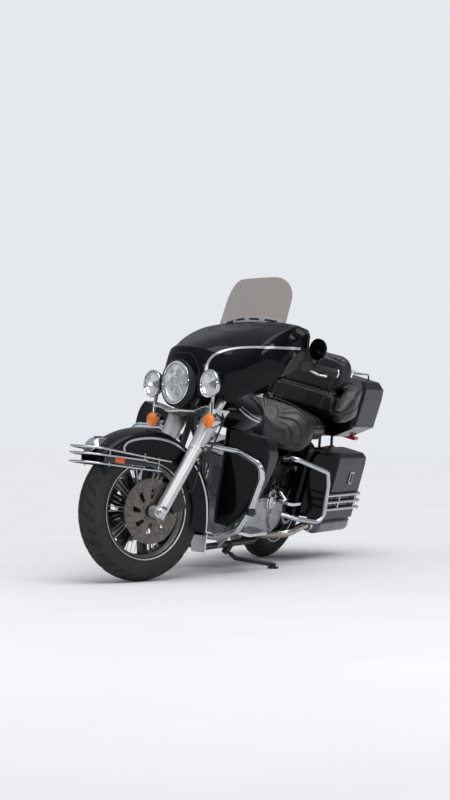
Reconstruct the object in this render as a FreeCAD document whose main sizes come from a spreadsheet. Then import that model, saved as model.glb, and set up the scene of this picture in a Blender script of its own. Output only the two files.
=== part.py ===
"""Touring cruiser motorcycle with a handlebar fairing, leaning on its side stand.

Every piece is drawn on the upright motorcycle: x forward from the rear axle, y to the
rider's left, z up from the ground, in millimetres. At the end the front end is turned to
its right-hand stop and the whole machine leans over onto the stand.
"""
import FreeCAD, Part
import math
import os
import Sketcher

os.makedirs("parts", exist_ok=True)
doc = FreeCAD.newDocument("touring_cruiser")
V = FreeCAD.Vector

# Driving dimensions: name, value, what it measures
SIZES = [
    ("wheelbase", 1613, "rear axle to front axle"),
    ("tyre_radius", 318, "outside radius of both tyres"),
    ("tyre_width", 130, "width of both tyres"),
    ("rim_radius", 217, "radius of the rim flanges"),
    ("rim_wall", 9, "thickness of the rim barrel"),
    ("hub_radius", 46, "radius of the wheel hubs"),
    ("front_hub_half", 84, "half length of the front hub, to the brake discs"),
    ("rear_hub_half", 71, "half length of the rear hub"),
    ("web_half", 15, "half thickness of the cast spokes"),
    ("spokes", 9, "cast spokes in each wheel"),
    ("window_start", 64, "inner radius of the openings between spokes"),
    ("window_end", 196, "outer radius of the openings between spokes"),
    ("window_root", 9, "half width of an opening near the hub"),
    ("window_tip", 50, "half width of an opening near the rim"),
    ("slot_start", 96, "inner radius of the slot along each spoke"),
    ("slot_end", 186, "outer radius of the slot along each spoke"),
    ("slot_half", 4.5, "half width of the slot along each spoke"),
    ("axle_radius", 12.5, "radius of both wheel axles"),
    ("running_gap", 0.05, "radial clearance of a wheel on its axle"),
    ("seat_gap", 0.3, "clearance between pieces that only lie against each other"),
    ("disc_radius", 146, "outside radius of the brake discs"),
    ("disc_inner", 104, "inside radius of the braking band"),
    ("disc_thickness", 5, "thickness of the brake discs"),
    ("disc_offset", 86.5, "middle of a front disc from the centre plane"),
    ("rear_disc_offset", 74, "middle of the rear disc from the centre plane"),
    ("disc_slots", 8, "openings in the carrier of a brake disc"),
    ("rake", 26, "steering axis from vertical, degrees"),
    ("trail", 157, "steering axis ahead of the front contact, at the ground"),
    ("fork_angle", 30, "fork legs from vertical, degrees"),
    ("fork_offset", 23, "fork legs behind the front axle, at axle height"),
    ("fork_spread", 128, "fork leg from the centre plane"),
    ("slider_radius", 29.5, "radius of the lower fork slider"),
    ("slider_length", 345, "slider from the axle to its top"),
    ("tube_radius", 20.5, "radius of the inner fork tube"),
    ("tube_top", 940, "height of the top of the fork tubes"),
    ("steer_lock", 31, "steering angle to either stop, degrees"),
    ("stem_radius", 17, "radius of the steering stem"),
    ("head_radius", 32, "radius of the steering head"),
    ("head_low", 803, "height of the bottom of the steering head"),
    ("head_high", 905, "height of the top of the steering head"),
    ("clamp_depth", 165, "fork clamp, front to back"),
    ("clamp_height", 26, "thickness of the fork clamps"),
    ("bar_radius", 12.7, "radius of the handlebar"),
    ("grip_radius", 18, "radius of a handlebar grip"),
    ("grip_length", 125, "length of a handlebar grip"),
    ("fender_radius", 372, "outside radius of the front fender's crown"),
    ("fender_forward", 12, "centre of the fender ahead of the axle"),
    ("fender_half", 87, "half width of the front fender"),
    ("fender_skirt", 248, "radius of the lower edge of the fender's sides"),
    ("fender_wall", 3, "thickness of the fenders"),
    ("fender_front", 40, "front end of the fender, degrees above level"),
    ("fender_rear", 195, "rear end of the fender, degrees from straight ahead"),
    ("fender_hem", 556, "height of the fender's lower edge in front of the fork"),
    ("lamp_radius", 101, "radius of the headlamp ring"),
    ("lamp_height", 908, "height of the headlamp's centre"),
    ("lamp_forward", -152, "headlamp lens from the front axle"),
    ("lamp_depth", 60, "depth of the headlamp"),
    ("spot_radius", 64, "radius of a spot lamp's ring"),
    ("spot_spread", 213, "spot lamp from the centre plane"),
    ("spot_forward", -176, "spot lamp lens from the front axle"),
    ("signal_radius", 33, "radius of a front turn signal"),
    ("signal_drop", 166, "turn signal below the spot lamp"),
    ("fairing_wall", 6, "thickness of the fairing shell"),
    ("dash_depth", 34, "thickness of the inner fairing"),
    ("screen_thickness", 4, "thickness of the windshield"),
    ("screen_bow", 640, "radius that the windshield is curved to"),
    ("screen_rake", 16, "windshield from vertical, degrees"),
    ("screen_half", 236, "half width of the windshield"),
    ("screen_top", 1443, "height of the top of the windshield"),
    ("screen_corner", 205, "radius of the windshield's upper corners"),
    ("frame_radius", 16, "radius of the frame tubes"),
    ("backbone_radius", 20, "radius of the tube under the tank"),
    ("backbone_height", 738, "height of the tube under the tank"),
    ("rail_height", 150, "height of the lower frame rails"),
    ("rail_spread", 118, "lower frame rail from the centre plane"),
    ("crank_forward", 700, "crankshaft ahead of the rear axle"),
    ("crank_height", 300, "height of the crankshaft"),
    ("cylinder_lean", 22.5, "each cylinder from vertical, degrees"),
    ("barrel_radius", 54, "radius of a cylinder barrel"),
    ("fin_radius", 76, "radius of the cooling fins"),
    ("fin_thickness", 3.5, "thickness of a cooling fin"),
    ("fin_pitch", 11, "spacing of the cooling fins"),
    ("fin_count", 13, "cooling fins on a cylinder"),
    ("clutch_forward", 440, "clutch and gearbox ahead of the rear axle"),
    ("muffler_radius", 46, "radius of a muffler"),
    ("muffler_spread", 243, "muffler from the centre plane"),
    ("muffler_height", 252, "height of the mufflers"),
    ("muffler_rear", -424, "rear end of a muffler"),
    ("muffler_front", 105, "front end of a muffler"),
    ("pipe_radius", 23, "radius of the exhaust pipes"),
    ("guard_radius", 16, "radius of the engine guard tube"),
    ("hoop_radius", 12.7, "radius of the saddlebag guard hoop"),
    ("rail_radius", 8, "radius of the saddlebag rails"),
    ("bag_outer", 312, "outer side of a saddlebag"),
    ("bag_inner", 146, "inner side of a saddlebag"),
    ("bag_rear", -385, "rear end of a saddlebag"),
    ("bag_front", 214, "front end of a saddlebag, at its inner side"),
    ("bag_ridge", 50, "where the saddlebag's chamfered front meets its side"),
    ("bag_floor", 300, "height of a saddlebag's floor"),
    ("bag_seam", 600, "height of the saddlebag's lid seam"),
    ("bag_top", 652, "height of the top of a saddlebag lid"),
    ("bag_wall", 5, "thickness of the saddlebag walls"),
    ("pak_front", -118, "front of the luggage trunk"),
    ("pak_rear", -500, "rear of the luggage trunk"),
    ("pak_floor", 712, "height of the luggage trunk's floor"),
    ("pak_seam", 948, "height of the luggage trunk's lid seam"),
    ("pak_top", 1036, "height of the top of the luggage trunk"),
    ("pak_half", 284, "half width of the luggage trunk"),
    ("pak_wall", 5, "thickness of the luggage trunk's walls"),
    ("tank_floor", 722, "height of the fuel tank's underside"),
    ("lean", 16, "the machine's lean to its left on the stand, degrees"),
    ("stand_pivot_forward", 790, "side stand pivot ahead of the rear axle"),
    ("stand_pivot_out", 122, "side stand pivot from the centre plane"),
    ("stand_pivot_height", 118, "height of the side stand's pivot"),
    ("stand_foot_forward", 709, "side stand foot ahead of the rear axle, on the ground"),
    ("stand_foot_out", 366, "side stand foot from the centre plane, on the ground"),
    ("stand_radius", 11, "radius of the side stand's leg"),
    ("pivot_radius", 9, "radius of the side stand's pivot pin"),
]

sheet = doc.addObject("Spreadsheet::Sheet", "sizes")
for row, (alias, value, meaning) in enumerate(SIZES, 1):
    sheet.set(f"A{row}", meaning)
    sheet.set(f"B{row}", str(value))
    sheet.setAlias(f"B{row}", alias)
doc.recompute()
s = sheet

RAKE = math.radians(s.rake)
FORK_ANGLE = math.radians(s.fork_angle)
ACROSS = V(0, 1, 0)
UP = V(0, 0, 1)
STEER_POINT = V(s.wheelbase + s.trail, 0, 0)
STEER_AXIS = V(-math.sin(RAKE), 0, math.cos(RAKE))
# The leg's own direction, and the point of its line at axle height
FORK_AXIS = V(-math.sin(FORK_ANGLE), 0, math.cos(FORK_ANGLE))

CHASSIS = "chassis"
STEERED = "steered"
nodes = []


# General shapes

def polar(centre_x, centre_z, radius, degrees, y=0):
    """Point at an angle up from straight ahead, round a centre in the upright plane."""
    turn = math.radians(degrees)
    return V(centre_x + radius * math.cos(turn), y, centre_z + radius * math.sin(turn))


def bent_edges(points, bend, closed=False):
    """Straight runs through the points, joined by arcs of up to the bend radius."""
    if closed:
        corners = list(zip(points[-1:] + points[:-1], points, points[1:] + points[:1]))
    else:
        corners = list(zip(points, points[1:], points[2:]))
    bends = []
    for before, corner, after in corners:
        back = before - corner
        ahead = after - corner
        room = 0.48 * min(back.Length, ahead.Length)
        half = back.getAngle(ahead) / 2
        reach = min(bend / math.tan(half), room)
        radius = reach * math.tan(half)
        back.normalize()
        ahead.normalize()
        middle = back + ahead
        middle.normalize()
        centre = corner + middle * (radius / math.sin(half))
        top = centre - middle * radius
        bends.append((corner + back * reach, top, corner + ahead * reach))
    edges = []
    for start, top, end in bends:
        edges.append(Part.Arc(start, top, end).toShape())
    starts = [b[2] for b in bends]
    ends = [b[0] for b in bends]
    if closed:
        ends = ends[1:] + ends[:1]
    else:
        starts = [points[0]] + starts
        ends = ends + [points[-1]]
    edges += [Part.LineSegment(a, b).toShape() for a, b in zip(starts, ends)]
    return edges


def loop(points, bend):
    """Closed wire with rounded corners."""
    return Part.Wire(Part.__sortEdges__(bent_edges(points, bend, closed=True)))


def rod(points, radius, bend=60):
    """Round rod or tube along straight runs and arcs."""
    points = [V(*p) for p in points]
    path = Part.Wire(Part.__sortEdges__(bent_edges(points, bend)))
    ring = Part.Wire(Part.Circle(points[0], points[1] - points[0], radius).toShape())
    return path.makePipeShell([ring], True, False)


def bar(start, end, radius):
    """Straight round bar between two points."""
    start = V(*start)
    end = V(*end)
    return Part.makeCylinder(radius, (end - start).Length, start, end - start)


def block(low, high):
    """Box between two opposite corners."""
    low = V(*low)
    span = V(*high) - low
    return Part.makeBox(span.x, span.y, span.z, low)


def turned(profile, centre, axis):
    """Solid turned from (radius, distance along the axis) corners."""
    face = Part.Face(Part.makePolygon([V(r, 0, a) for r, a in profile + profile[:1]]))
    solid = face.revolve(V(0, 0, 0), UP, 360)
    solid.Placement = FreeCAD.Placement(centre, FreeCAD.Rotation(UP, axis))
    return solid


def plate(points, bend, thickness):
    """Flat plate from its rounded outline; thickness is a vector."""
    return Part.Face(loop([V(*p) for p in points], bend)).extrude(V(*thickness))


def loft(wires):
    return Part.makeLoft(wires, True, False)


def joined(shapes):
    """One solid, or solids that do not touch, from several."""
    return shapes[0].multiFuse(shapes[1:]).removeSplitter()


def largest(shape):
    return max(shape.Solids, key=lambda solid: solid.Volume)


def mirrored(shape):
    return shape.mirror(V(0, 0, 0), ACROSS)


def both_sides(shape):
    return Part.makeCompound([shape, mirrored(shape)])


def on_side(shape, side):
    """The left-hand shape itself for side 1, its mirror image for side -1."""
    return shape if side > 0 else mirrored(shape)


# Parametric sub-parts

def corner_sketch(body, name, plane_role, corners):
    """Closed outline on one of the body's planes, its corners bound to the sheet."""
    sketch = body.newObject("Sketcher::SketchObject", name)
    plane = next(f for f in body.Origin.OriginFeatures if f.Role == plane_role)
    sketch.AttachmentSupport = [(plane, "")]
    sketch.MapMode = "FlatFace"
    spots = [V(sketch.evalExpression(a), sketch.evalExpression(b), 0) for a, b in corners]
    following = spots[1:] + spots[:1]
    for index, (spot, after) in enumerate(zip(spots, following)):
        sketch.addGeometry(Part.LineSegment(spot, after))
    for index in range(len(spots)):
        after = (index + 1) % len(spots)
        sketch.addConstraint(Sketcher.Constraint("Coincident", index, 2, after, 1))
    for index, (spot, pair) in enumerate(zip(spots, corners)):
        for kind, value, expression in (("DistanceX", spot.x, pair[0]), ("DistanceY", spot.y, pair[1])):
            number = sketch.addConstraint(Sketcher.Constraint(kind, -1, 1, index, 1, value))
            sketch.setExpression(f"Constraints[{number}]", expression)
    return sketch


def turned_body(label, corners):
    """Body turned about its own y axis from (radius, y) corners."""
    body = doc.addObject("PartDesign::Body", label)
    sketch = corner_sketch(body, label + "_outline", "XY_Plane", corners)
    turn = body.newObject("PartDesign::Revolution", label + "_turned")
    turn.Profile = sketch
    turn.ReferenceAxis = (sketch, ["V_Axis"])
    turn.Angle = 360
    doc.recompute()
    return body


def ring_of_openings(body, label, count, openings):
    """Openings cut along y, repeated round the body's own y axis."""
    cuts = []
    for number, corners in enumerate(openings):
        sketch = corner_sketch(body, f"{label}_opening_{number}", "XZ_Plane", corners)
        cut = body.newObject("PartDesign::Pocket", f"{label}_cut_{number}")
        cut.Profile = sketch
        cut.Type = "Length"
        cut.Midplane = True
        cut.setExpression("Length", "2 * sizes.tyre_width")
        doc.recompute()
        cuts.append(cut)
    pattern = body.newObject("PartDesign::PolarPattern", label + "_openings")
    pattern.Originals = cuts
    turn_axis = next(f for f in body.Origin.OriginFeatures if f.Role == "Y_Axis")
    pattern.Axis = (turn_axis, [""])
    pattern.Angle = 360
    pattern.setExpression("Occurrences", count)
    body.Tip = pattern
    doc.recompute()


def keep(thing, label, group, spot=V(0, 0, 0)):
    """Register a sub-part under its node name, with its place on the upright machine."""
    if isinstance(thing, Part.Shape):
        feature = doc.addObject("Part::Feature", label)
        feature.Shape = Part.makeCompound(thing.Solids)
        thing = feature
    thing.Label = label
    nodes.append((thing, group, FreeCAD.Placement(spot, FreeCAD.Rotation())))
    return thing


# Wheels

def tyre(label, group, spot):
    """Round-section tyre with the rim's bore through it."""
    ring = doc.addObject("Part::Torus", label + "_ring")
    ring.setExpression("Radius1", "sizes.tyre_radius - sizes.tyre_width / 2")
    ring.setExpression("Radius2", "sizes.tyre_width / 2")
    bore = doc.addObject("Part::Cylinder", label + "_bore")
    bore.setExpression("Radius", "sizes.rim_radius + sizes.seat_gap")
    bore.setExpression("Height", "sizes.tyre_width")
    bore.setExpression("Placement.Base.z", "-sizes.tyre_width / 2")
    cut = doc.addObject("Part::Cut", label)
    cut.Base = ring
    cut.Tool = bore
    cut.Label = label
    turn = FreeCAD.Rotation(UP, ACROSS)
    nodes.append((cut, group, FreeCAD.Placement(spot, turn)))


def cast_wheel(label, group, spot, hub_half):
    """Rim, slotted spokes and hub in one casting."""
    rim_half = "sqrt(sizes.tyre_width ^ 2 / 4 - (sizes.rim_radius - sizes.tyre_radius + sizes.tyre_width / 2) ^ 2)"
    inner_rim = "sizes.rim_radius - sizes.rim_wall"
    bore = "sizes.axle_radius + sizes.running_gap"
    upper = [
        ("sizes.hub_radius", "sizes.web_half"),
        (inner_rim, "sizes.web_half"),
        (inner_rim, rim_half),
        ("sizes.rim_radius", rim_half),
    ]
    lower = [(across, "-1 * (" + along + ")") for across, along in reversed(upper)]
    corners = [("sizes.hub_radius", hub_half)] + upper + lower
    corners += [("sizes.hub_radius", "-1 * " + hub_half), (bore, "-1 * " + hub_half), (bore, hub_half)]
    body = turned_body(label, corners)
    window = [
        ("sizes.window_start", "-1 * sizes.window_root"),
        ("sizes.window_end", "-1 * sizes.window_tip"),
        ("sizes.window_end", "sizes.window_tip"),
        ("sizes.window_start", "sizes.window_root"),
    ]
    half_step = "180 / sizes.spokes"
    slot = []
    for along, across in (("start", "-1"), ("end", "-1"), ("end", "1"), ("start", "1")):
        reach = f"sizes.slot_{along}"
        aside = f"{across} * sizes.slot_half"
        slot.append((f"{reach} * cos({half_step}) - {aside} * sin({half_step})",
                     f"{reach} * sin({half_step}) + {aside} * cos({half_step})"))
    ring_of_openings(body, label, "sizes.spokes", [window, slot])
    keep(body, label, group, spot)


def brake_disc(label):
    """Ventilated brake disc with its carrier, about its own y axis."""
    thin = "sizes.disc_thickness / 2"
    bore = "sizes.axle_radius + 3 * sizes.disc_thickness"
    body = turned_body(label, [
        (bore, thin), ("sizes.disc_radius", thin),
        ("sizes.disc_radius", "-1 * " + thin), (bore, "-1 * " + thin),
    ])
    near = "sizes.hub_radius + 2 * sizes.disc_thickness"
    far = "sizes.disc_inner - sizes.disc_thickness"
    ring_of_openings(body, label, "sizes.disc_slots", [[
        (near, "-2 * sizes.disc_thickness"), (far, "-1 * sizes.disc_thickness"),
        (far, "4 * sizes.disc_thickness"), (near, "sizes.disc_thickness"),
    ]])
    return body


def disc_pair(label, group, spot):
    """The same disc on both sides of the front hub."""
    disc = brake_disc("front_disc")
    shifted = []
    for side in (1, -1):
        copy = disc.Shape.copy()
        copy.translate(ACROSS * side * s.disc_offset)
        shifted.append(copy)
    keep(Part.makeCompound(shifted), label, group, spot)


def axle(label, group, spot, half):
    """Plain round axle across the machine."""
    pin = doc.addObject("Part::Cylinder", label)
    pin.setExpression("Radius", "sizes.axle_radius")
    pin.Height = 2 * half
    pin.Label = label
    turn = FreeCAD.Rotation(UP, ACROSS)
    nodes.append((pin, group, FreeCAD.Placement(spot - ACROSS * half, turn)))


REAR_AXLE = V(0, 0, s.tyre_radius)
FRONT_AXLE = V(s.wheelbase, 0, s.tyre_radius)
tyre("front_tyre", "front_wheel", FRONT_AXLE)
cast_wheel("front_cast_wheel", "front_wheel", FRONT_AXLE, "sizes.front_hub_half")
disc_pair("front_brake_discs", "front_wheel", FRONT_AXLE)
axle("front_axle", STEERED, FRONT_AXLE, s.fork_spread + 2 * s.axle_radius)

tyre("rear_tyre", "rear_wheel", REAR_AXLE)
cast_wheel("rear_cast_wheel", "rear_wheel", REAR_AXLE, "sizes.rear_hub_half")
keep(brake_disc("rear_brake_disc"), "rear_brake_disc", "rear_wheel", REAR_AXLE - ACROSS * s.rear_disc_offset)

PULLEY_OUT = s.rear_hub_half
PULLEY_WIDTH = 22
PULLEY_RADIUS = 108
FRONT_PULLEY_RADIUS = 52
BELT_THICKNESS = 7
ARM_OUT = PULLEY_OUT + PULLEY_WIDTH + 8
ARM_WIDTH = 26
axle("rear_axle", CHASSIS, REAR_AXLE, ARM_OUT + ARM_WIDTH + s.axle_radius)


def rear_pulley():
    """Belt pulley on the left of the rear hub."""
    bore = s.axle_radius + s.running_gap
    profile = [
        (bore, 0), (PULLEY_RADIUS, 0), (PULLEY_RADIUS, PULLEY_WIDTH),
        (PULLEY_RADIUS - 14, PULLEY_WIDTH), (PULLEY_RADIUS - 20, 8),
        (s.hub_radius, 8), (s.hub_radius - 6, PULLEY_WIDTH), (bore, PULLEY_WIDTH),
    ]
    return turned(profile, REAR_AXLE + ACROSS * PULLEY_OUT, ACROSS)


keep(rear_pulley(), "rear_pulley", "rear_wheel")


# Front fork and steering

def fork_point(height, y=0, ahead=0):
    """Point of a fork leg's line at a height."""
    behind = s.fork_offset + (height - s.tyre_radius) * math.tan(FORK_ANGLE)
    return V(s.wheelbase - behind + ahead, y, height)


def axis_point(height):
    """Point of the steering axis at a height."""
    return V(STEER_POINT.x - height * math.tan(RAKE), 0, height)


SLIDER_TOP = s.tyre_radius + s.slider_length * math.cos(FORK_ANGLE)


def fork_leg(side):
    """Slider with its axle lug, and the chromed tube that runs in it."""
    y = side * s.fork_spread
    foot = fork_point(s.tyre_radius - 28, y)
    top = fork_point(SLIDER_TOP, y)
    slider = bar(foot, top, s.slider_radius)
    collar = bar(top - FORK_AXIS * 16, top, s.slider_radius + 3.5)
    tube = bar(top, fork_point(s.tube_top, y), s.tube_radius)
    lug_half = s.slider_radius - 4
    lug = bar((s.wheelbase, y - lug_half, s.tyre_radius), (s.wheelbase, y + lug_half, s.tyre_radius), 27)
    bore_half = 2 * s.slider_radius
    bore = bar((s.wheelbase, y - bore_half, s.tyre_radius), (s.wheelbase, y + bore_half, s.tyre_radius),
               s.axle_radius + s.running_gap)
    return joined([slider, collar, tube, lug]).cut(bore)


FORK_LEGS = both_sides(fork_leg(1))
keep(FORK_LEGS, "fork_legs", STEERED)

COVER_LOW = SLIDER_TOP + 4
COVER_HIGH = s.head_low - 8


def fork_cover():
    """Wedge-shaped cover over the left upper fork, wider towards the fairing."""
    y = s.fork_spread
    # columns: height, half depth, half width, shift back
    table = [
        (COVER_LOW, 36, 32, 0),
        (COVER_LOW + 70, 44, 33, 2),
        (COVER_HIGH, 62, 36, 2),
    ]
    wires = []
    for height, deep, wide, back in table:
        middle = fork_point(height, y, -back)
        corners = [middle + V(dx * deep, dy * wide, 0) for dx, dy in ((1, 1), (-1, 1), (-1, -1), (1, -1))]
        wires.append(loop(corners, 30))
    hole = bar(fork_point(COVER_LOW - 20, y), fork_point(COVER_HIGH + 30, y), s.tube_radius + s.seat_gap)
    return largest(loft(wires).cut(hole).cut(FORK_LEGS).cut(STEERING_STEM))


def fork_clamp(height):
    """Clamp across both fork tubes and the stem, square to the steering axis."""
    axis = axis_point(height)
    behind = axis.x - fork_point(height).x
    reach = s.fork_spread + s.tube_radius + 16
    near = s.fork_spread - 24
    outline = [
        (-behind - 34, reach, 0), (-behind - 34, near, 0), (-behind - 4, near - 6, 0), (-24, 46, 0),
        (-24, -46, 0), (-behind - 4, -near + 6, 0), (-behind - 34, -near, 0), (-behind - 34, -reach, 0),
        (-behind + 30, -reach, 0), (34, -50, 0), (34, 50, 0), (-behind + 30, reach, 0),
    ]
    clamp = plate(outline, 14, (0, 0, s.clamp_height))
    clamp.Placement = FreeCAD.Placement(axis, FreeCAD.Rotation(UP, STEER_AXIS))
    for side in (1, -1):
        y = side * s.fork_spread
        clamp = clamp.cut(bar(fork_point(height - 120, y), fork_point(height + 120, y),
                              s.tube_radius + s.seat_gap))
    return clamp


def steering_stem():
    """Both fork clamps with the stem between them."""
    low = s.head_low - 5 - s.clamp_height * math.cos(RAKE)
    high = s.head_high + 5
    stem = bar(axis_point(low), axis_point(high + 20), s.stem_radius)
    return joined([fork_clamp(low), fork_clamp(high), stem])


STEERING_STEM = steering_stem()
keep(STEERING_STEM, "fork_clamps", STEERED)
FORK_COVERS = both_sides(fork_cover())
keep(FORK_COVERS, "fork_covers", STEERED)

BAR_HEIGHT = s.head_high + 62
GRIP_IN = V(s.wheelbase - 623, 366, 1022)
GRIP_OUT = V(s.wheelbase - 737, 430, 1004)
BAR_ROUTE = [
    (s.wheelbase - 330, 0, BAR_HEIGHT), (s.wheelbase - 332, 95, BAR_HEIGHT + 6),
    (s.wheelbase - 470, 215, 1052), (s.wheelbase - 560, 300, 1044),
    (GRIP_IN.x, GRIP_IN.y, GRIP_IN.z), (GRIP_OUT.x, GRIP_OUT.y, GRIP_OUT.z),
]


def handlebar():
    """Bent bar from grip to grip, on two risers."""
    left = rod(BAR_ROUTE, s.bar_radius, 60)
    risers = []
    for y in (42, -42):
        foot = V(s.wheelbase - 300, y, s.head_high + 14)
        risers.append(bar(foot, (s.wheelbase - 330, y, BAR_HEIGHT + 16), 17))
    return joined([left, mirrored(left)] + risers)


def grip():
    """Grip with its switch housing, clear of the bar by a hair."""
    along = (GRIP_OUT - GRIP_IN).normalize()
    start = GRIP_OUT - along * s.grip_length
    sleeve = bar(start, GRIP_OUT + along * 3, s.grip_radius)
    house = bar(start - along * 46, start, s.grip_radius + 6)
    master = block((start.x - 4, start.y - 92, start.z + 14), (start.x + 52, start.y - 30, start.z + 52))
    solid = joined([sleeve, house, master])
    bore = bar(start - along * 120, GRIP_OUT, s.bar_radius + s.running_gap)
    return largest(solid.cut(bore).cut(HANDLEBAR))


def lever():
    """Clutch or brake lever ahead of the grip, hung from the housing."""
    along = (GRIP_OUT - GRIP_IN).normalize()
    start = GRIP_OUT - along * s.grip_length
    points = [
        start + V(8, -30, 22), start + V(58, -18, 14),
        GRIP_OUT + V(74, -40, -12), GRIP_OUT + V(52, -4, -18),
    ]
    return largest(rod([(p.x, p.y, p.z) for p in points], 7, 30).cut(GRIPS).cut(HANDLEBAR))


HANDLEBAR = handlebar().cut(STEERING_STEM)
GRIPS = both_sides(grip())
keep(HANDLEBAR, "handlebar", STEERED)
keep(GRIPS, "grips", STEERED)
keep(both_sides(lever()), "hand_levers", STEERED)


# Fairing, measured from the front axle

def fairing_wire(row, inset=0, back=0):
    """One upright section: crown arc, nose arc, chin and the seam behind."""
    y, rear_x, rear_z, crown_x, crown_z, brow_x, brow_z, nose_x, nose_z, chin_x, chin_z, heel_x, heel_z = row
    front = s.wheelbase
    rear = V(front + rear_x - back, y, rear_z - inset)
    crown = V(front + crown_x - inset * 0.5, y, crown_z - inset)
    brow = V(front + brow_x - inset, y, brow_z - inset * 0.6)
    nose = V(front + nose_x - inset, y, nose_z)
    chin = V(front + chin_x - inset, y, chin_z + inset * 0.6)
    heel = V(front + heel_x - back, y, heel_z + inset)
    return Part.Wire([
        Part.Arc(rear, crown, brow).toShape(), Part.Arc(brow, nose, chin).toShape(),
        Part.LineSegment(chin, heel).toShape(), Part.LineSegment(heel, rear).toShape(),
    ])


# columns: y, then x and z of rear top, crown, brow, nose, chin and heel
FAIRING = [
    (0, -538, 1229, -355, 1168, -162, 1076, -146, 965, -176, 848, -323, 800),
    (118, -539, 1227, -356, 1166, -196, 1066, -180, 955, -212, 850, -325, 812),
    (210, -543, 1223, -380, 1160, -262, 1046, -246, 950, -282, 868, -336, 845),
    (290, -552, 1215, -428, 1164, -330, 1064, -318, 980, -354, 906, -384, 892),
    (350, -566, 1204, -500, 1180, -432, 1106, -424, 1050, -450, 992, -482, 974),
    (392, -588, 1168, -572, 1166, -550, 1142, -548, 1124, -556, 1108, -582, 1098),
]
SECTIONS = [(-row[0],) + row[1:] for row in reversed(FAIRING[1:])] + FAIRING
HOLLOW_BACK = 60


def fairing_solid(inset=0, back=0, rows=SECTIONS):
    return loft([fairing_wire(row, inset, back) for row in rows])


LAMP_CENTRE = V(s.wheelbase + s.lamp_forward, 0, s.lamp_height)


def outer_fairing():
    """Painted shell, open behind, with the headlamp's opening."""
    hollow = fairing_solid(s.fairing_wall, HOLLOW_BACK, SECTIONS[1:-1])
    opening = bar(LAMP_CENTRE - V(200, 0, 0), LAMP_CENTRE + V(80, 0, 0), s.lamp_radius + 12)
    below = block((s.wheelbase - 430, -172, 700), (s.wheelbase - 236, 172, 900))
    return largest(fairing_solid().cut(hollow).cut(opening).cut(below))


DASH_LOW = 952


def inner_fairing():
    """Dash panel behind the shell, with passages for the handlebar."""
    wires = []
    for row in SECTIONS:
        y, rear_x, rear_z = row[:3]
        heel_x, heel_z = row[-2:]
        share = max(0.0, (DASH_LOW - heel_z) / (rear_z - heel_z))
        low_x = heel_x + (rear_x - heel_x) * share
        low_z = heel_z + (rear_z - heel_z) * share
        deep = s.dash_depth * (0.35 if abs(y) > 380 else 1)
        shift = s.wheelbase - s.seat_gap
        wires.append(Part.makePolygon([
            V(shift + low_x, y, low_z), V(shift + rear_x, y, rear_z - 2),
            V(shift + rear_x - deep, y, rear_z - 8), V(shift + low_x - deep, y, low_z + 4),
            V(shift + low_x, y, low_z),
        ]))
    panel = loft(wires)
    for route in (BAR_ROUTE, [(x, -y, z) for x, y, z in BAR_ROUTE]):
        panel = panel.cut(rod(route, s.bar_radius + 6, 60))
    stays = []
    for y in (156, -156):
        stays.append(bar((s.wheelbase - 366, y, 888), (s.wheelbase - 424, y, 985), 7))
    panel = joined([panel.cut(fairing_solid())] + stays)
    return largest(panel.cut(STEERING_STEM).cut(FORK_LEGS).cut(HANDLEBAR).cut(GRIPS))


OUTER_FAIRING = outer_fairing()
INNER_FAIRING = inner_fairing()
keep(OUTER_FAIRING, "outer_fairing", STEERED)
keep(INNER_FAIRING, "inner_fairing", STEERED)

SCREEN_BASE = V(s.wheelbase - 520, 0, 1222)


def screen_shell():
    """Bowed sheet that the windshield is cut from, leaning back."""
    height = 320
    outer = Part.makeCylinder(s.screen_bow, height)
    inner = Part.makeCylinder(s.screen_bow - s.screen_thickness, height)
    shell = outer.cut(inner)
    turn = FreeCAD.Rotation(ACROSS, -s.screen_rake)
    spot = SCREEN_BASE - turn.multVec(V(s.screen_bow, 0, 40))
    shell.Placement = FreeCAD.Placement(spot, turn)
    return shell


def screen_outline(low, high, half, corner):
    """Window outline seen from the front."""
    x = SCREEN_BASE.x - 220
    points = [(x, -half - 8, low), (x, half + 8, low), (x, half, high), (x, -half, high)]
    wire = [V(*p) for p in points]
    straight = plate(points, 6, (300, 0, 0))
    rounded = Part.Face(loop(wire, corner)).extrude(V(300, 0, 0))
    upper = block((x, -2 * half, low + (high - low) / 2), (x + 300, 2 * half, high + 10))
    return straight.cut(upper).fuse(rounded.common(upper)).removeSplitter()


def windshield():
    """Clear screen that stands on the fairing."""
    sheet_metal = screen_shell().common(screen_outline(1200, s.screen_top, s.screen_half, s.screen_corner))
    return largest(sheet_metal.cut(fairing_solid(-s.seat_gap)).cut(OUTER_FAIRING).cut(INNER_FAIRING))


keep(windshield(), "windshield", STEERED)


# Lamps on the front end

def lamp_turned(radius, depth, spot):
    """Lamp turned from its ring, bowl and lens, facing forward."""
    profile = [
        (0, -depth), (radius * 0.55, -depth), (radius * 0.86, -depth * 0.55),
        (radius, -depth * 0.3), (radius, -4), (radius * 0.9, 6), (radius * 0.8, 2), (0, 8),
    ]
    return turned(profile, spot, V(1, 0, 0))


def headlamp():
    """Headlamp with the stay that carries it on the upper clamp."""
    lamp = lamp_turned(s.lamp_radius, s.lamp_depth, LAMP_CENTRE)
    stay_height = s.head_high + 37
    stay = bar((LAMP_CENTRE.x - s.lamp_depth + 6, 0, stay_height),
               (axis_point(s.head_high).x + 8, 0, stay_height), 10)
    return joined([lamp, stay]).cut(STEERING_STEM)


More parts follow.
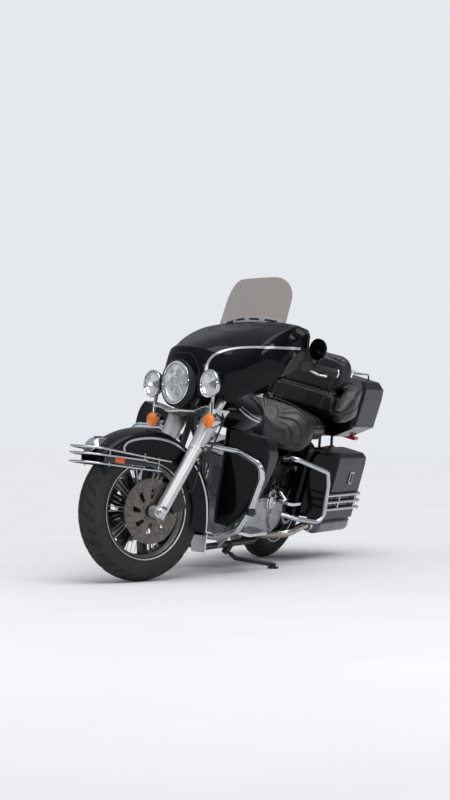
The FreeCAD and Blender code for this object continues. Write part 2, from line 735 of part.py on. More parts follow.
SPOT_CENTRE = V(s.wheelbase + s.spot_forward, s.spot_spread, s.lamp_height - 3)
SIGNAL_CENTRE = SPOT_CENTRE - V(22, 0, s.signal_drop)
BAR_DIP = s.lamp_height - s.lamp_radius - 18
LIGHT_BAR = [
    (s.wheelbase - 204, s.spot_spread - 26, BAR_DIP + 16),
    (s.wheelbase - 200, s.spot_spread - 70, BAR_DIP + 8),
    (s.wheelbase - 196, 110, BAR_DIP - 6), (s.wheelbase - 194, 0, BAR_DIP - 2),
]


def light_bar():
    """Chromed bar under the headlamp that carries the spot lamps and turn signals."""
    post_low = SIGNAL_CENTRE + V(0, 0, s.signal_radius - 4)
    post_high = SPOT_CENTRE - V(30, 0, s.spot_radius * 0.8)
    post = bar(post_low, V(post_low.x, post_low.y, BAR_DIP + 30), 11)
    neck = bar(V(post_low.x, post_low.y, BAR_DIP + 16), post_high, 8)
    left = rod([(post_low.x, post_low.y, BAR_DIP + 16)] + LIGHT_BAR, 9, 50)
    stay = bar((s.wheelbase - 197, 60, BAR_DIP - 2), (s.wheelbase - 256, 60, BAR_DIP - 14), 7)
    half = joined([left, post, neck, stay])
    whole = joined([half, mirrored(half)])
    whole = whole.cut(both_sides(spot_lamp())).cut(both_sides(turn_signal()))
    return largest(whole.cut(headlamp()).cut(STEERING_STEM).cut(FORK_LEGS))


def spot_lamp():
    return largest(lamp_turned(s.spot_radius, 44, SPOT_CENTRE).cut(OUTER_FAIRING))


def turn_signal():
    """Bullet-shaped turn signal facing forward."""
    r = s.signal_radius
    profile = [(0, -52), (r * 0.5, -46), (r * 0.86, -26), (r, -6), (r, 10), (r * 0.8, 20), (0, 27)]
    return turned(profile, SIGNAL_CENTRE, V(1, 0, 0))


keep(headlamp(), "headlamp", STEERED)
keep(light_bar(), "light_bar", STEERED)
keep(both_sides(spot_lamp()), "spot_lamps", STEERED)
keep(both_sides(turn_signal()), "front_turn_signals", STEERED)


# Mirrors, grips and levers

def mirror_pair():
    """Round mirrors on stems from the handlebar housings."""
    centre = V(s.wheelbase - 632, 418, 1102)
    head = turned([(0, -14), (34, -14), (48, -4), (50, 8), (0, 9)], centre, V(1, 0.12, 0))
    stem = rod([(centre.x - 2, centre.y, centre.z - 40), (centre.x - 6, centre.y - 8, centre.z - 62),
                (centre.x - 28, centre.y - 62, 1058)], 6, 14)
    return both_sides(largest(joined([head, stem]).cut(INNER_FAIRING).cut(HANDLEBAR).cut(GRIPS)))


keep(mirror_pair(), "mirrors", STEERED)


# Front fender

FENDER_CENTRE = V(s.wheelbase + s.fender_forward, 0, s.tyre_radius)


def fender_shell(centre, crown, half, skirt, start, end):
    """Wheel arch of U section between two angles."""
    def half_section(shrink):
        return [
            V(skirt, half - shrink, 0), V(crown - 46, half - shrink, 0),
            V(crown - 26 - 0.7 * shrink, half - 7 - 0.7 * shrink, 0),
            V(crown - 14 - shrink, half - 25 - 0.3 * shrink, 0), V(crown - shrink, 0, 0),
        ]

    def run(points):
        foot, side, shoulder, edge, top = points
        flip = [V(p.x, -p.y, 0) for p in points]
        return [
            Part.LineSegment(foot, side).toShape(), Part.Arc(side, shoulder, edge).toShape(),
            Part.Arc(edge, top, flip[3]).toShape(), Part.Arc(flip[3], flip[2], flip[1]).toShape(),
            Part.LineSegment(flip[1], flip[0]).toShape(),
        ]

    out = half_section(0)
    inn = half_section(s.fender_wall)
    ends = [Part.LineSegment(a, b).toShape() for a, b in (
        (out[0], inn[0]), (V(skirt, -out[0].y, 0), V(skirt, -inn[0].y, 0)))]
    edges = Part.__sortEdges__(run(out) + run(inn) + ends)
    face = Part.Face(Part.Wire(edges))
    face.Placement = FreeCAD.Placement(centre, FreeCAD.Rotation(ACROSS, -start))
    return face.revolve(centre, ACROSS * -1, end - start)


def front_fender():
    """Deep fender with a level hem ahead of the fork, bolted inside the legs."""
    shell = fender_shell(FENDER_CENTRE, s.fender_radius, s.fender_half, s.fender_skirt,
                         s.fender_front, s.fender_rear)
    below = block((fork_point(s.fender_hem).x, -200, 0), (s.wheelbase + 600, 200, s.fender_hem))
    shell = shell.cut(below)
    stays = []
    # columns: depth below the slider's top, distance behind the leg's line, radius
    for drop, behind, radius in ((40, 0, 8), (86, 18, 6)):
        spot = fork_point(SLIDER_TOP - drop, ahead=-behind)
        away = behind * math.cos(FORK_ANGLE) + radius
        outer = s.fork_spread - math.sqrt(s.slider_radius ** 2 - away ** 2) + 1
        stays.append(bar((spot.x, s.fender_half - 1, spot.z), (spot.x, outer, spot.z), radius))
    return joined([shell] + stays + [mirrored(stay) for stay in stays]).cut(FORK_LEGS)


def fender_lamp():
    """Tip lamp housing on the fender's nose."""
    # columns: x from the axle, height, half width, rise
    table = [(170, 614, 22, 8), (230, 606, 34, 22), (285, 588, 38, 28), (306, 574, 32, 14)]
    wires = []
    for x, z, half, rise in table:
        points = [V(s.wheelbase + x, -half, z - 14), V(s.wheelbase + x, half, z - 14),
                  V(s.wheelbase + x, half * 0.8, z + rise), V(s.wheelbase + x, -half * 0.8, z + rise)]
        wires.append(loop(points, 7))
    body = loft(wires)
    arch = Part.makeCylinder(s.fender_radius + s.seat_gap, 300, FENDER_CENTRE - ACROSS * 150, ACROSS)
    return largest(body.cut(arch))


# columns: height of the rear end, height of the nose, start behind the axle
FENDER_RAILS = [(544, 583, -88, 5), (541, 554, 44, 5), (498, 516, -34, 5)]


def fender_rails():
    """Three bright rails on each side that meet round the nose."""
    out = s.fender_half + 7
    nose = s.wheelbase + 384
    rods = []
    for rear_z, nose_z, start, radius in FENDER_RAILS:
        side = [
            (s.wheelbase + start, out, rear_z), (nose - 86, out, nose_z - 3), (nose - 18, 56, nose_z),
        ]
        points = side + [(x, -y, z) for x, y, z in reversed(side)]
        rods.append(rod(points, radius, 55))
    band = []
    for y in (out, -out):
        outline = [(s.wheelbase + 60, y, 512), (nose - 112, y, 522), (nose - 112, y, 548), (s.wheelbase + 60, y, 540)]
        band.append(plate(outline, 3, (0, 4 if y < 0 else -4, 0)))
    struts = []
    for x, low, high in ((-20, 500, 556), (60, 500, 570), (250, 500, 575)):
        struts.append(bar((s.wheelbase + x, out, low), (s.wheelbase + x, out, high), 3))
    struts += [mirrored(strut) for strut in struts]
    stubs = []
    for x in (-20, 60):
        stubs.append(bar((s.wheelbase + x, s.fender_half, 555), (s.wheelbase + x, out, 555), 3))
    stubs += [mirrored(stub) for stub in stubs]
    return joined(rods + band + struts + stubs)


def mud_flap():
    """Plate hung from the fender's rear edge."""
    edge = polar(FENDER_CENTRE.x, FENDER_CENTRE.z, s.fender_radius, s.fender_rear)
    outline = [(edge.x, -56, edge.z + 14), (edge.x, 56, edge.z + 14),
               (edge.x, 50, edge.z - 78), (edge.x, -50, edge.z - 78)]
    flap = plate(outline, 8, (-6, 0, 0))
    arch = Part.makeCylinder(s.fender_radius + s.seat_gap, 200, FENDER_CENTRE - ACROSS * 100, ACROSS)
    return largest(flap.cut(arch))


keep(front_fender(), "front_fender", STEERED)
keep(fender_lamp(), "fender_lamp", STEERED)
keep(fender_rails(), "fender_rails", STEERED)
keep(mud_flap(), "mud_flap", STEERED)


# Front brakes

def caliper(centre, offset, angle):
    """Brake caliper astride a disc on the left."""
    length = 96
    depth = 78
    overhang = 34
    gap = 5
    inward = 22
    outward = s.disc_thickness / 2 + gap + 14
    body = block((-depth / 2, -inward, -length / 2), (depth / 2, outward, length / 2))
    body = body.makeFillet(6, body.Edges)
    room = s.disc_thickness / 2 + gap
    body = body.cut(block((-depth, -room, -length), (depth / 2 - 12, room, length)))
    body.Placement = FreeCAD.Placement(
        polar(centre.x, centre.z, s.disc_radius + overhang - depth / 2, angle, offset),
        FreeCAD.Rotation(ACROSS, -angle))
    return largest(body)


FRONT_CALIPER_ANGLE = 158
FRONT_CALIPER = largest(caliper(FRONT_AXLE, s.disc_offset, FRONT_CALIPER_ANGLE).cut(fork_leg(1)))
keep(both_sides(FRONT_CALIPER), "front_calipers", STEERED)


def brake_hose():
    """Hose from the left front caliper up to the lower fork clamp."""
    start = polar(FRONT_AXLE.x, FRONT_AXLE.z, s.disc_radius + 30, FRONT_CALIPER_ANGLE - 4, s.disc_offset + 8)
    middle = fork_point(540, 154, -52)
    beside = fork_point(650, 174, -50)
    high = fork_point(752, 174, -34)
    end = fork_point(s.head_low - 14, 156, -10)
    points = [start, start + V(-42, 26, 34), middle, beside, high, end]
    hose = rod([(p.x, p.y, p.z) for p in points], 4.5, 40)
    return largest(hose.cut(FRONT_CALIPER).cut(STEERING_STEM).cut(FORK_COVERS).cut(FORK_LEGS))


keep(both_sides(brake_hose()), "brake_hoses", STEERED)


# Frame and swingarm

RAIL_OUT = s.fender_half + 10 + s.frame_radius
UPRIGHT = s.clutch_forward - 30
PIVOT = V(s.clutch_forward - 74, 0, s.crank_height)
SEAT_RAIL = [
    (UPRIGHT, RAIL_OUT, 470), (150, RAIL_OUT, 552), (-60, RAIL_OUT, 612), (-345, RAIL_OUT, 630),
]
STAND_PIVOT = V(s.stand_pivot_forward, s.stand_pivot_out, s.stand_pivot_height)
STAND_TILT = math.radians(25)
STAND_TURN = math.radians(60)
STAND_AXIS = V(-math.sin(STAND_TILT) * math.sin(STAND_TURN), math.sin(STAND_TILT) * math.cos(STAND_TURN),
               math.cos(STAND_TILT))
STAND_EYE_HALF = 9
STAND_EYE_RADIUS = 18
BOSS_LENGTH = 26
BOSS_HEIGHT = 436
BACKBONE_ROUTE = [
    (axis_point(826).x, 0, 826), (axis_point(826).x - 92, 0, s.backbone_height),
    (600, 0, s.backbone_height), (UPRIGHT + 70, 0, 640),
]


def frame():
    """Tubular frame: steering head, backbone, cradle, seat rails and brackets."""
    radius = s.frame_radius
    head = bar(axis_point(s.head_low), axis_point(s.head_high), s.head_radius)
    backbone = rod(BACKBONE_ROUTE, s.backbone_radius, 90)
    low = s.rail_height
    out = s.rail_spread
    neck = axis_point(s.head_low + 30)
    cradle = rod([
        (neck.x - 12, 6, neck.z), (neck.x - 70, 12, 710), (neck.x - 150, 60, 580),
        (s.wheelbase - 446, out - 6, 240),
        (s.wheelbase - 505, out, low), (UPRIGHT + 40, out, low), (UPRIGHT, out, low + 60),
        (UPRIGHT, RAIL_OUT, 470), SEAT_RAIL[1], SEAT_RAIL[2], SEAT_RAIL[3],
    ], radius, 70)
    seat_tube = rod([(UPRIGHT + 70, 0, 640), (UPRIGHT + 30, 70, 606), (UPRIGHT - 20, RAIL_OUT, 578),
                     (150, RAIL_OUT, 552)], 12, 40)
    gusset = bar((UPRIGHT - 10, RAIL_OUT, 470), (UPRIGHT - 20, RAIL_OUT, 578), 12)
    lug = bar(STAND_PIVOT + STAND_AXIS * (STAND_EYE_HALF + 0.3), STAND_PIVOT + STAND_AXIS * 46, 19)
    pin = bar(STAND_PIVOT - STAND_AXIS * 16, STAND_PIVOT + STAND_AXIS * 20, s.pivot_radius)
    cap = bar(STAND_PIVOT - STAND_AXIS * 16, STAND_PIVOT - STAND_AXIS * (STAND_EYE_HALF + 0.3), 14)
    outside = ARM_OUT + ARM_WIDTH + s.seat_gap
    hanger = block((PIVOT.x - 56, outside, PIVOT.z - 14), (UPRIGHT + 6, outside + 7.6, PIVOT.z + 14))
    pivot_pin = bar((PIVOT.x, ARM_OUT, PIVOT.z), (PIVOT.x, outside + 4, PIVOT.z), 12)
    ties = [
        bar((s.wheelbase - 505 + 10, -out, low), (s.wheelbase - 505 + 10, out, low), 12),
        bar((UPRIGHT + 60, -out, low), (UPRIGHT + 60, out, low), 12),
    ]
    supports = []
    for x, height in ((120, 541), (-250, 520)):
        for side in (1, -1):
            inner = V(x, side * RAIL_OUT, height)
            supports.append(bar(inner, (x, side * (s.bag_inner - s.seat_gap), height), 9))
    for side in (1, -1):
        supports.append(bar((-250, side * RAIL_OUT, 520), (-250, side * RAIL_OUT, 624), 9))
    rack_height = s.pak_floor - s.seat_gap - 9
    rack = rod([(-140, 0, rack_height), (-140, 96, rack_height), (-430, 96, rack_height),
                (-430, 0, rack_height)], 9, 30)
    posts = [bar((x, RAIL_OUT, z), (x, 96, rack_height), 7.5) for x, z in ((-150, 618), (-330, 628))]
    boss = bar((UPRIGHT, RAIL_OUT, BOSS_HEIGHT), (UPRIGHT, RAIL_OUT + BOSS_LENGTH - s.seat_gap, BOSS_HEIGHT), 12)
    left = [cradle, seat_tube, gusset, hanger, pivot_pin, boss, rack] + posts
    whole = joined([head, backbone, lug, pin, cap] + left + [mirrored(piece) for piece in left]
                   + ties + supports)
    bore = bar(axis_point(s.head_low - 20), axis_point(s.head_high + 20), s.stem_radius + s.running_gap)
    return whole.cut(bore)


REAR_CALIPER_ANGLE = 40


def swingarm():
    """Two arms from the frame pivot to the rear axle, with the rear caliper on the right."""
    outline = [
        (-44, ARM_OUT, s.tyre_radius - 20), (-44, ARM_OUT, s.tyre_radius + 20), (70, ARM_OUT, s.tyre_radius + 26),
        (PIVOT.x + 22, ARM_OUT, PIVOT.z + 24), (PIVOT.x + 22, ARM_OUT, PIVOT.z - 24),
        (70, ARM_OUT, s.tyre_radius - 32),
    ]
    arm = plate(outline, 18, (0, ARM_WIDTH, 0))
    cross = bar((PIVOT.x - 18, -ARM_OUT - 2, PIVOT.z), (PIVOT.x - 18, ARM_OUT + 2, PIVOT.z), 10)
    grip_on = caliper(REAR_AXLE, s.rear_disc_offset, REAR_CALIPER_ANGLE)
    seat = grip_on.BoundBox.Center
    bracket = rod([(seat.x, s.rear_disc_offset + 16, seat.z - 20), (seat.x - 2, ARM_OUT + 6, seat.z - 34),
                   (seat.x - 10, ARM_OUT + 12, s.tyre_radius + 10)], 9, 16)
    arms = joined([arm, mirrored(arm), cross, mirrored(grip_on), mirrored(bracket)])
    reach = ARM_OUT + 2 * ARM_WIDTH
    arms = arms.cut(bar((0, -reach, s.tyre_radius), (0, reach, s.tyre_radius), s.axle_radius + s.running_gap))
    return arms.cut(bar((PIVOT.x, -reach, PIVOT.z), (PIVOT.x, reach, PIVOT.z), 12 + s.running_gap))


FRAME = frame()
SWINGARM = swingarm()
keep(FRAME, "frame", CHASSIS)
keep(SWINGARM, "swingarm", CHASSIS)


def shock_pair():
    """Rear shock absorbers between the swingarm and the seat rails."""
    low = V(40, RAIL_OUT, s.tyre_radius + 12)
    high = V(70, RAIL_OUT, 560)
    return both_sides(largest(bar(low, high, 13).cut(SWINGARM).cut(FRAME)))


# Engine

CRANK = V(s.crank_forward, 0, s.crank_height)
CASE_HALF = 98
BARREL_START = 112
HEAD_START = BARREL_START + s.fin_pitch * s.fin_count + 4
HEAD_END = HEAD_START + 62
ROCKER_END = HEAD_END + 36
HORN_BACK = 84
AIR_CLEANER_BACK = -116


def cylinder(lean):
    """Finned barrel, head and rocker box of one cylinder."""
    turn = FreeCAD.Rotation(ACROSS, lean)
    shapes = [Part.makeCylinder(s.barrel_radius, HEAD_END - 60, V(0, 0, 60))]
    for index in range(int(s.fin_count)):
        height = BARREL_START + index * s.fin_pitch
        shapes.append(Part.makeCylinder(s.fin_radius, s.fin_thickness, V(0, 0, height)))
    wide = s.fin_radius + 2
    for index in range(6):
        height = HEAD_START + index * s.fin_pitch
        fin = block((-wide, -wide, height), (wide, wide, height + s.fin_thickness))
        shapes.append(fin)
    shapes.append(block((-56, -60, HEAD_START), (56, 60, HEAD_END)))
    cover = plate([(-66, -74, HEAD_END), (66, -74, HEAD_END), (66, 74, HEAD_END), (-66, 74, HEAD_END)],
                  22, (0, 0, ROCKER_END - HEAD_END))
    shapes.append(cover)
    whole = joined(shapes)
    whole.Placement = FreeCAD.Placement(CRANK, turn)
    return whole


def engine():
    """Crankcase, gearbox and the two finned cylinders in a V."""
    case = bar(CRANK - ACROSS * CASE_HALF, CRANK + ACROSS * CASE_HALF, 116)
    sump = block((590, -86, 178), (790, 86, 300))
    gearbox = plate([(UPRIGHT + 24, -82, 232), (620, -82, 200), (620, -82, 400), (560, -82, 430), (UPRIGHT + 24, -82, 420)],
                    26, (0, 146, 0))
    bosses = [
        bar(CRANK + ACROSS * 90, CRANK + ACROSS * 136, 84),
        bar(V(550, 60, 310), V(550, 136, 310), 44),
    ]
    cam_cover = bar(CRANK - ACROSS * 136, CRANK - ACROSS * 90, 92)
    intake = bar(V(CRANK.x, HORN_BACK, 545), V(CRANK.x, AIR_CLEANER_BACK, 545), 25)
    pushrods = []
    for x in (-54, -30, 30, 54):
        pushrods.append(bar(V(CRANK.x + x, -118, 350), V(CRANK.x + x * 2.4, -92, 640), 9))
    mounts = []
    for x in (600, 764):
        mount = block((x, 60, s.rail_height - 4), (x + 24, s.rail_spread - 12, s.rail_height + 80))
        mounts += [mount, mirrored(mount)]
    shapes = [case, sump, gearbox, cam_cover, intake] + bosses + pushrods + mounts
    whole = joined(shapes + [cylinder(s.cylinder_lean), cylinder(-s.cylinder_lean)])
    return whole.cut(FRAME)


def primary_cover():
    """Long oval cover over the primary drive, on the left."""
    inner = 136 + s.seat_gap
    crank_r = 96
    clutch_r = 92
    centre = V(s.clutch_forward, inner, s.crank_height + 8)
    front = V(CRANK.x, inner, CRANK.z)
    drum = bar(centre, centre + ACROSS * 48, clutch_r)
    nose = bar(front, front + ACROSS * 48, crank_r)
    web = plate([(centre.x, inner, centre.z - clutch_r), (front.x, inner, front.z - crank_r),
                 (front.x, inner, front.z + crank_r), (centre.x, inner, centre.z + clutch_r)], 1, (0, 48, 0))
    shell = joined([drum, nose, web])
    derby = turned([(0, 0), (78, 0), (74, 10), (0, 14)], centre + ACROSS * 48, ACROSS)
    return joined([shell, derby])


def belt_loop():
    """Final drive belt round both pulleys."""
    y = PULLEY_OUT + 2
    back = V(0, y, s.tyre_radius)
    front = V(s.clutch_forward, y, s.crank_height + 10)

    def outline(grow):
        first = PULLEY_RADIUS + grow
        second = FRONT_PULLEY_RADIUS + grow
        run = front - back
        spread = math.acos((first - second) / run.Length)
        angle = math.atan2(run.z, run.x)

        def spot(centre, radius, turn):
            return V(centre.x + radius * math.cos(turn), y, centre.z + radius * math.sin(turn))

        tops = spot(back, first, angle + spread), spot(front, second, angle + spread)
        lows = spot(back, first, angle - spread), spot(front, second, angle - spread)
        return Part.Wire([
            Part.Arc(tops[0], spot(back, first, angle + math.pi), lows[0]).toShape(),
            Part.LineSegment(lows[0], lows[1]).toShape(),
            Part.Arc(lows[1], spot(front, second, angle), tops[1]).toShape(),
            Part.LineSegment(tops[1], tops[0]).toShape(),
        ])

    outer = Part.Face(outline(s.seat_gap + BELT_THICKNESS)).extrude(ACROSS * (PULLEY_WIDTH - 4))
    inner = Part.Face(outline(s.seat_gap)).extrude(ACROSS * (PULLEY_WIDTH - 4))
    return outer.cut(inner)


def front_pulley():
    """Gearbox pulley and the shaft end that carries it."""
    centre = V(s.clutch_forward, 0, s.crank_height + 10)
    pulley = bar(centre + ACROSS * (PULLEY_OUT + 2), centre + ACROSS * (PULLEY_OUT + PULLEY_WIDTH - 2),
                 FRONT_PULLEY_RADIUS)
    shaft = bar(centre + ACROSS * 64, centre + ACROSS * (PULLEY_OUT + 10), 20)
    return joined([pulley, shaft])


def air_cleaner():
    """Round air cleaner on the right, between the cylinders."""
    profile = [(0, 0), (84, 0), (92, 14), (92, 44), (80, 58), (0, 62)]
    return turned(profile, V(CRANK.x, AIR_CLEANER_BACK - s.seat_gap, 545), ACROSS * -1).cut(ENGINE)


def horn():
    """Horn with its bright cover on the left, between the cylinders."""
    profile = [(0, 0), (58, 0), (62, 10), (52, 34), (0, 40)]
    return turned(profile, V(CRANK.x, HORN_BACK + s.seat_gap, 545), ACROSS)


ENGINE = engine()
keep(ENGINE, "engine", CHASSIS)
keep(primary_cover(), "primary_cover", CHASSIS)
keep(air_cleaner(), "air_cleaner", CHASSIS)
keep(horn(), "horn", CHASSIS)
keep(joined([belt_loop(), front_pulley()]), "drive_belt", CHASSIS)
keep(shock_pair(), "rear_shocks", CHASSIS)


# Exhaust

PIPE_CROSSING = s.clutch_forward - 90


def exhaust_pipes():
    """Both headers on the right, and the pipe that crosses to the left muffler."""
    out = s.muffler_spread
    z = s.muffler_height
    front = rod([(CRANK.x + 150, -78, 560), (CRANK.x + 215, -130, 500), (CRANK.x + 190, -178, 330),
                 (CRANK.x + 60, -196, 232), (PIPE_CROSSING + 60, -out + 10, z - 20),
                 (s.muffler_front + 60, -out, z), (s.muffler_front + s.seat_gap, -out, z)], s.pipe_radius, 90)
    rear = rod([(CRANK.x - 150, -78, 570), (CRANK.x - 190, -140, 500), (CRANK.x - 130, -182, 340),
                (CRANK.x - 60, -204, 226)], s.pipe_radius - 2, 60)
    cross_z = s.rail_height + 24
    cross = rod([(PIPE_CROSSING + 120, -out + 14, z - 26), (PIPE_CROSSING, -170, cross_z + 14),
                 (PIPE_CROSSING, -60, cross_z), (PIPE_CROSSING, 120, cross_z),
                 (PIPE_CROSSING - 60, out - 20, z - 40), (s.muffler_front + 50, out, z),
                 (s.muffler_front + s.seat_gap, out, z)], s.pipe_radius - 3, 60)
    return joined([front, rear, cross]).cut(ENGINE)


def mufflers():
    """A turned muffler on each side, drawn along y and laid rearwards."""
    length = "(sizes.muffler_front - sizes.muffler_rear)"
    pipe = "sizes.pipe_radius + 3"
    body = turned_body("muffler", [
        ("0", "0"), (pipe, "0"), (pipe, "30"), ("sizes.muffler_radius", "90"),
        ("sizes.muffler_radius", length + " - 6"), ("sizes.muffler_radius - 6", length),
        ("sizes.pipe_radius", length), ("sizes.pipe_radius", length + " - 30"), ("0", length + " - 30"),
    ])
    left = body.Shape.copy()
    spot = V(s.muffler_front, s.muffler_spread, s.muffler_height)
    left.Placement = FreeCAD.Placement(spot, FreeCAD.Rotation(ACROSS, V(-1, 0, 0)))
    return both_sides(left)


keep(exhaust_pipes(), "exhaust_pipes", CHASSIS)
keep(mufflers(), "mufflers", CHASSIS)


# Tank, seats and backrest

def arched_wire(x, half, low, side_z, shoulder, top):
    """Upright section across the machine: flat below, round sides and top."""
    low_half = half * 0.82
    top_half = half * 0.62
    points = [V(x, -low_half, low), V(x, low_half, low), V(x, half, side_z), V(x, top_half, shoulder),
              V(x, 0, top), V(x, -top_half, shoulder), V(x, -half, side_z)]
    return Part.Wire([
        Part.LineSegment(points[0], points[1]).toShape(),
        Part.Arc(points[1], points[2], points[3]).toShape(),
        Part.Arc(points[3], points[4], points[5]).toShape(),
        Part.Arc(points[5], points[6], points[0]).toShape(),
    ])


# columns: x, half width, rise of the underside, then heights above the underside:
# widest place, shoulder and top
TANK = [
    (1146, 70, 34, 60, 118, 136),
    (1080, 142, 4, 76, 156, 178),
    (930, 166, 0, 78, 156, 180),
    (780, 138, 6, 70, 132, 154),
    (668, 84, 22, 52, 92, 112),
    (622, 46, 38, 40, 62, 78),
]


def tank_solid():
    floor = s.tank_floor
    return loft([arched_wire(x, half, floor + rise, floor + side, floor + shoulder, floor + top)
                 for x, half, rise, side, shoulder, top in TANK])


def fuel_tank():
    """Painted tank astride the backbone."""
    half = s.backbone_radius + s.seat_gap
    tunnel = rod(BACKBONE_ROUTE, half, 90)
    slot = block((500, -half, 600), (1200, half, s.backbone_height))
    return largest(tank_solid().cut(tunnel).cut(slot))


def tank_console():
    """Console along the top of the tank, with the filler and gauge."""
    wires = []
    for x, half, top in ((1050, 30, 194), (930, 44, 196), (780, 44, 170), (640, 34, 106), (602, 30, 92)):
        floor = s.tank_floor
        wires.append(loop([V(x, -half, floor + top - 60), V(x, half, floor + top - 60),
                           V(x, half * 0.8, floor + top), V(x, -half * 0.8, floor + top)], 14))
    return largest(loft(wires).cut(tank_solid()))


keep(fuel_tank(), "fuel_tank", CHASSIS)
keep(tank_console(), "tank_console", CHASSIS)

# columns: x, half width, underside, widest place, shoulder and top
RIDER_SEAT = [
    (596, 62, 764, 780, 800, 812),
    (540, 120, 668, 720, 768, 786),
    (450, 196, 640, 706, 760, 766),
    (380, 236, 632, 740, 826, 842),
    (320, 240, 640, 750, 842, 860),
    (286, 228, 660, 750, 830, 850),
]
PASSENGER_SEAT = [
    (284, 172, 668, 740, 792, 806),
    (180, 174, 668, 742, 796, 812),
    (60, 174, 672, 744, 798, 816),
    (-30, 172, 680, 746, 796, 812),
]


def seat_solid(table):
    """Closed cushion through its cross sections."""
    return loft([arched_wire(*row) for row in table])


def rider_seat():
    return largest(seat_solid(RIDER_SEAT).cut(tank_solid()).cut(tank_console()).cut(FRAME))


def passenger_seat():
    """Pillion cushion that rests on the crown of the rear fender."""
    arch = bar((0, -300, s.tyre_radius), (0, 300, s.tyre_radius), s.fender_radius - 6 + s.seat_gap)
    return largest(seat_solid(PASSENGER_SEAT).cut(arch).cut(FRAME).cut(rider_seat()))


def backrest_wire(x, half, low, high, corner):
    points = [V(x, -half, low), V(x, half, low), V(x, half * 0.92, high), V(x, -half * 0.92, high)]
    return loop(points, corner)


def passenger_backrest():
    """Two-tier backrest with arms that wrap forward."""
    upper = loft([backrest_wire(-104, 212, 944, 1130, 70), backrest_wire(-60, 226, 940, 1152, 84),
                  backrest_wire(-20, 206, 952, 1132, 74)])
    lower = loft([backrest_wire(s.pak_front + s.seat_gap, 206, 817, 938, 30), backrest_wire(-30, 214, 817, 942, 34),
                  backrest_wire(2, 200, 830, 932, 30)])
    arms = []
    for side in (1, -1):
        sections = []
        # columns: x, inner y, outer y, low, high
        for x, inner, outer, low, high in ((-108, 200, 292, 830, 1010), (-30, 208, 300, 820, 990),
                                           (60, 216, 292, 806, 920), (118, 222, 276, 806, 880)):
            points = [V(x, side * inner, low), V(x, side * outer, low), V(x, side * outer, high), V(x, side * inner, high)]
            sections.append(loop(points, 24))
        arms.append(loft(sections))
    return joined([upper, lower] + arms)


keep(rider_seat(), "rider_seat", CHASSIS)
keep(passenger_seat(), "passenger_seat", CHASSIS)
keep(passenger_backrest(), "passenger_backrest", CHASSIS)


# Rear fender, saddlebags and luggage trunk

def rear_fender():
    """Arch over the rear wheel, between the seat rails."""
    return fender_shell(REAR_AXLE, s.fender_radius - 6, s.fender_half + 10 - s.seat_gap, s.fender_skirt + 12, 42, 186)


keep(rear_fender(), "rear_fender", CHASSIS)


def bag_outline(z, inset=0):
    """Plan of a saddlebag, its front chamfered towards the outside."""
    inner = s.bag_inner + inset
    outer = s.bag_outer - inset
    rear = s.bag_rear + inset
    front = s.bag_front - inset
    ridge = s.bag_ridge - inset
    return [V(rear, inner, z), V(front, inner, z), V(front, inner + 52, z), V(ridge, outer, z), V(rear, outer, z)]


def saddlebag():
    """Open box on the left; its lid closes it."""
    corner = 26
    tall = s.bag_seam - s.bag_floor
    outer = Part.Face(loop(bag_outline(s.bag_floor), corner)).extrude(UP * tall)
    inner = Part.Face(loop(bag_outline(s.bag_floor + s.bag_wall, s.bag_wall), corner - s.bag_wall)).extrude(UP * tall)
    return outer.cut(inner)


def saddlebag_lid(side):
    """Lid with a crowned top, hinged along its outer edge."""
    corner = 26
    seam = s.bag_seam + s.seat_gap
    middle = (s.bag_seam + s.bag_top) / 2 + 6
    outer = loft([loop(bag_outline(seam), corner), loop(bag_outline(middle, 3), corner)])
    outer = outer.fuse(loft([loop(bag_outline(middle, 3), corner), loop(bag_outline(s.bag_top, 20), corner)]))
    wall = s.bag_wall
    inner = loft([loop(bag_outline(seam - 1, wall), corner - wall),
                  loop(bag_outline(s.bag_top - wall, 20 + wall), corner - wall)])
    return on_side(outer.cut(inner), side)


BAG_HINGE = V(0, s.bag_outer + 2, s.bag_seam)
keep(both_sides(saddlebag()), "saddlebags", CHASSIS)
for side, name in ((1, "left"), (-1, "right")):
    keep(saddlebag_lid(side), "saddlebag_lid_" + name, "bag_lid_" + name)


def pak_wire(z, half, inset=0):
    rear = s.pak_rear + inset
    front = s.pak_front - inset
    half = half - inset
    points = [V(rear + 50, -half, z), V(front, -half, z), V(front, half, z), V(rear + 50, half, z),
              V(rear, half * 0.55, z), V(rear, -half * 0.55, z)]
    return loop(points, 34)


# columns: share of the way from floor to seam, share of the half width
PAK_TUB = [(0, 0.61), (0.2, 0.83), (0.34, 0.98), (1, 1)]


def pak_tub():
    """Trunk below its seam, narrow at the floor so that the bag lids can open."""
    tall = s.pak_seam - s.pak_floor
    outer = []
    inner = []
    for share, part in PAK_TUB:
        outer.append(pak_wire(s.pak_floor + tall * share, s.pak_half * part))
        inner.append(pak_wire(s.pak_floor + tall * share, s.pak_half * part, s.pak_wall))
    inner[0].translate(UP * s.pak_wall)
    rim = inner[-1].copy()
    rim.translate(UP * 2)
    shell = Part.makeLoft(outer, True, True)
    hollow = Part.makeLoft(inner, True, True).fuse(Part.makeLoft([inner[-1], rim], True, True))
    return shell.cut(hollow)


def pak_lid():
    """Crowned lid, hinged on its right."""
    seam = s.pak_seam + s.seat_gap
    half = s.pak_half
    rise = s.pak_top - seam
    outer = Part.makeLoft([pak_wire(seam, half), pak_wire(seam + rise * 0.62, half, 3),
                           pak_wire(s.pak_top, half, 30)], True, True)
    wall = s.pak_wall
    inner = Part.makeLoft([pak_wire(seam - 1, half, wall), pak_wire(seam + rise * 0.58, half, wall + 3),
                           pak_wire(s.pak_top - wall, half, wall + 30)], True, True)
    return outer.cut(inner)


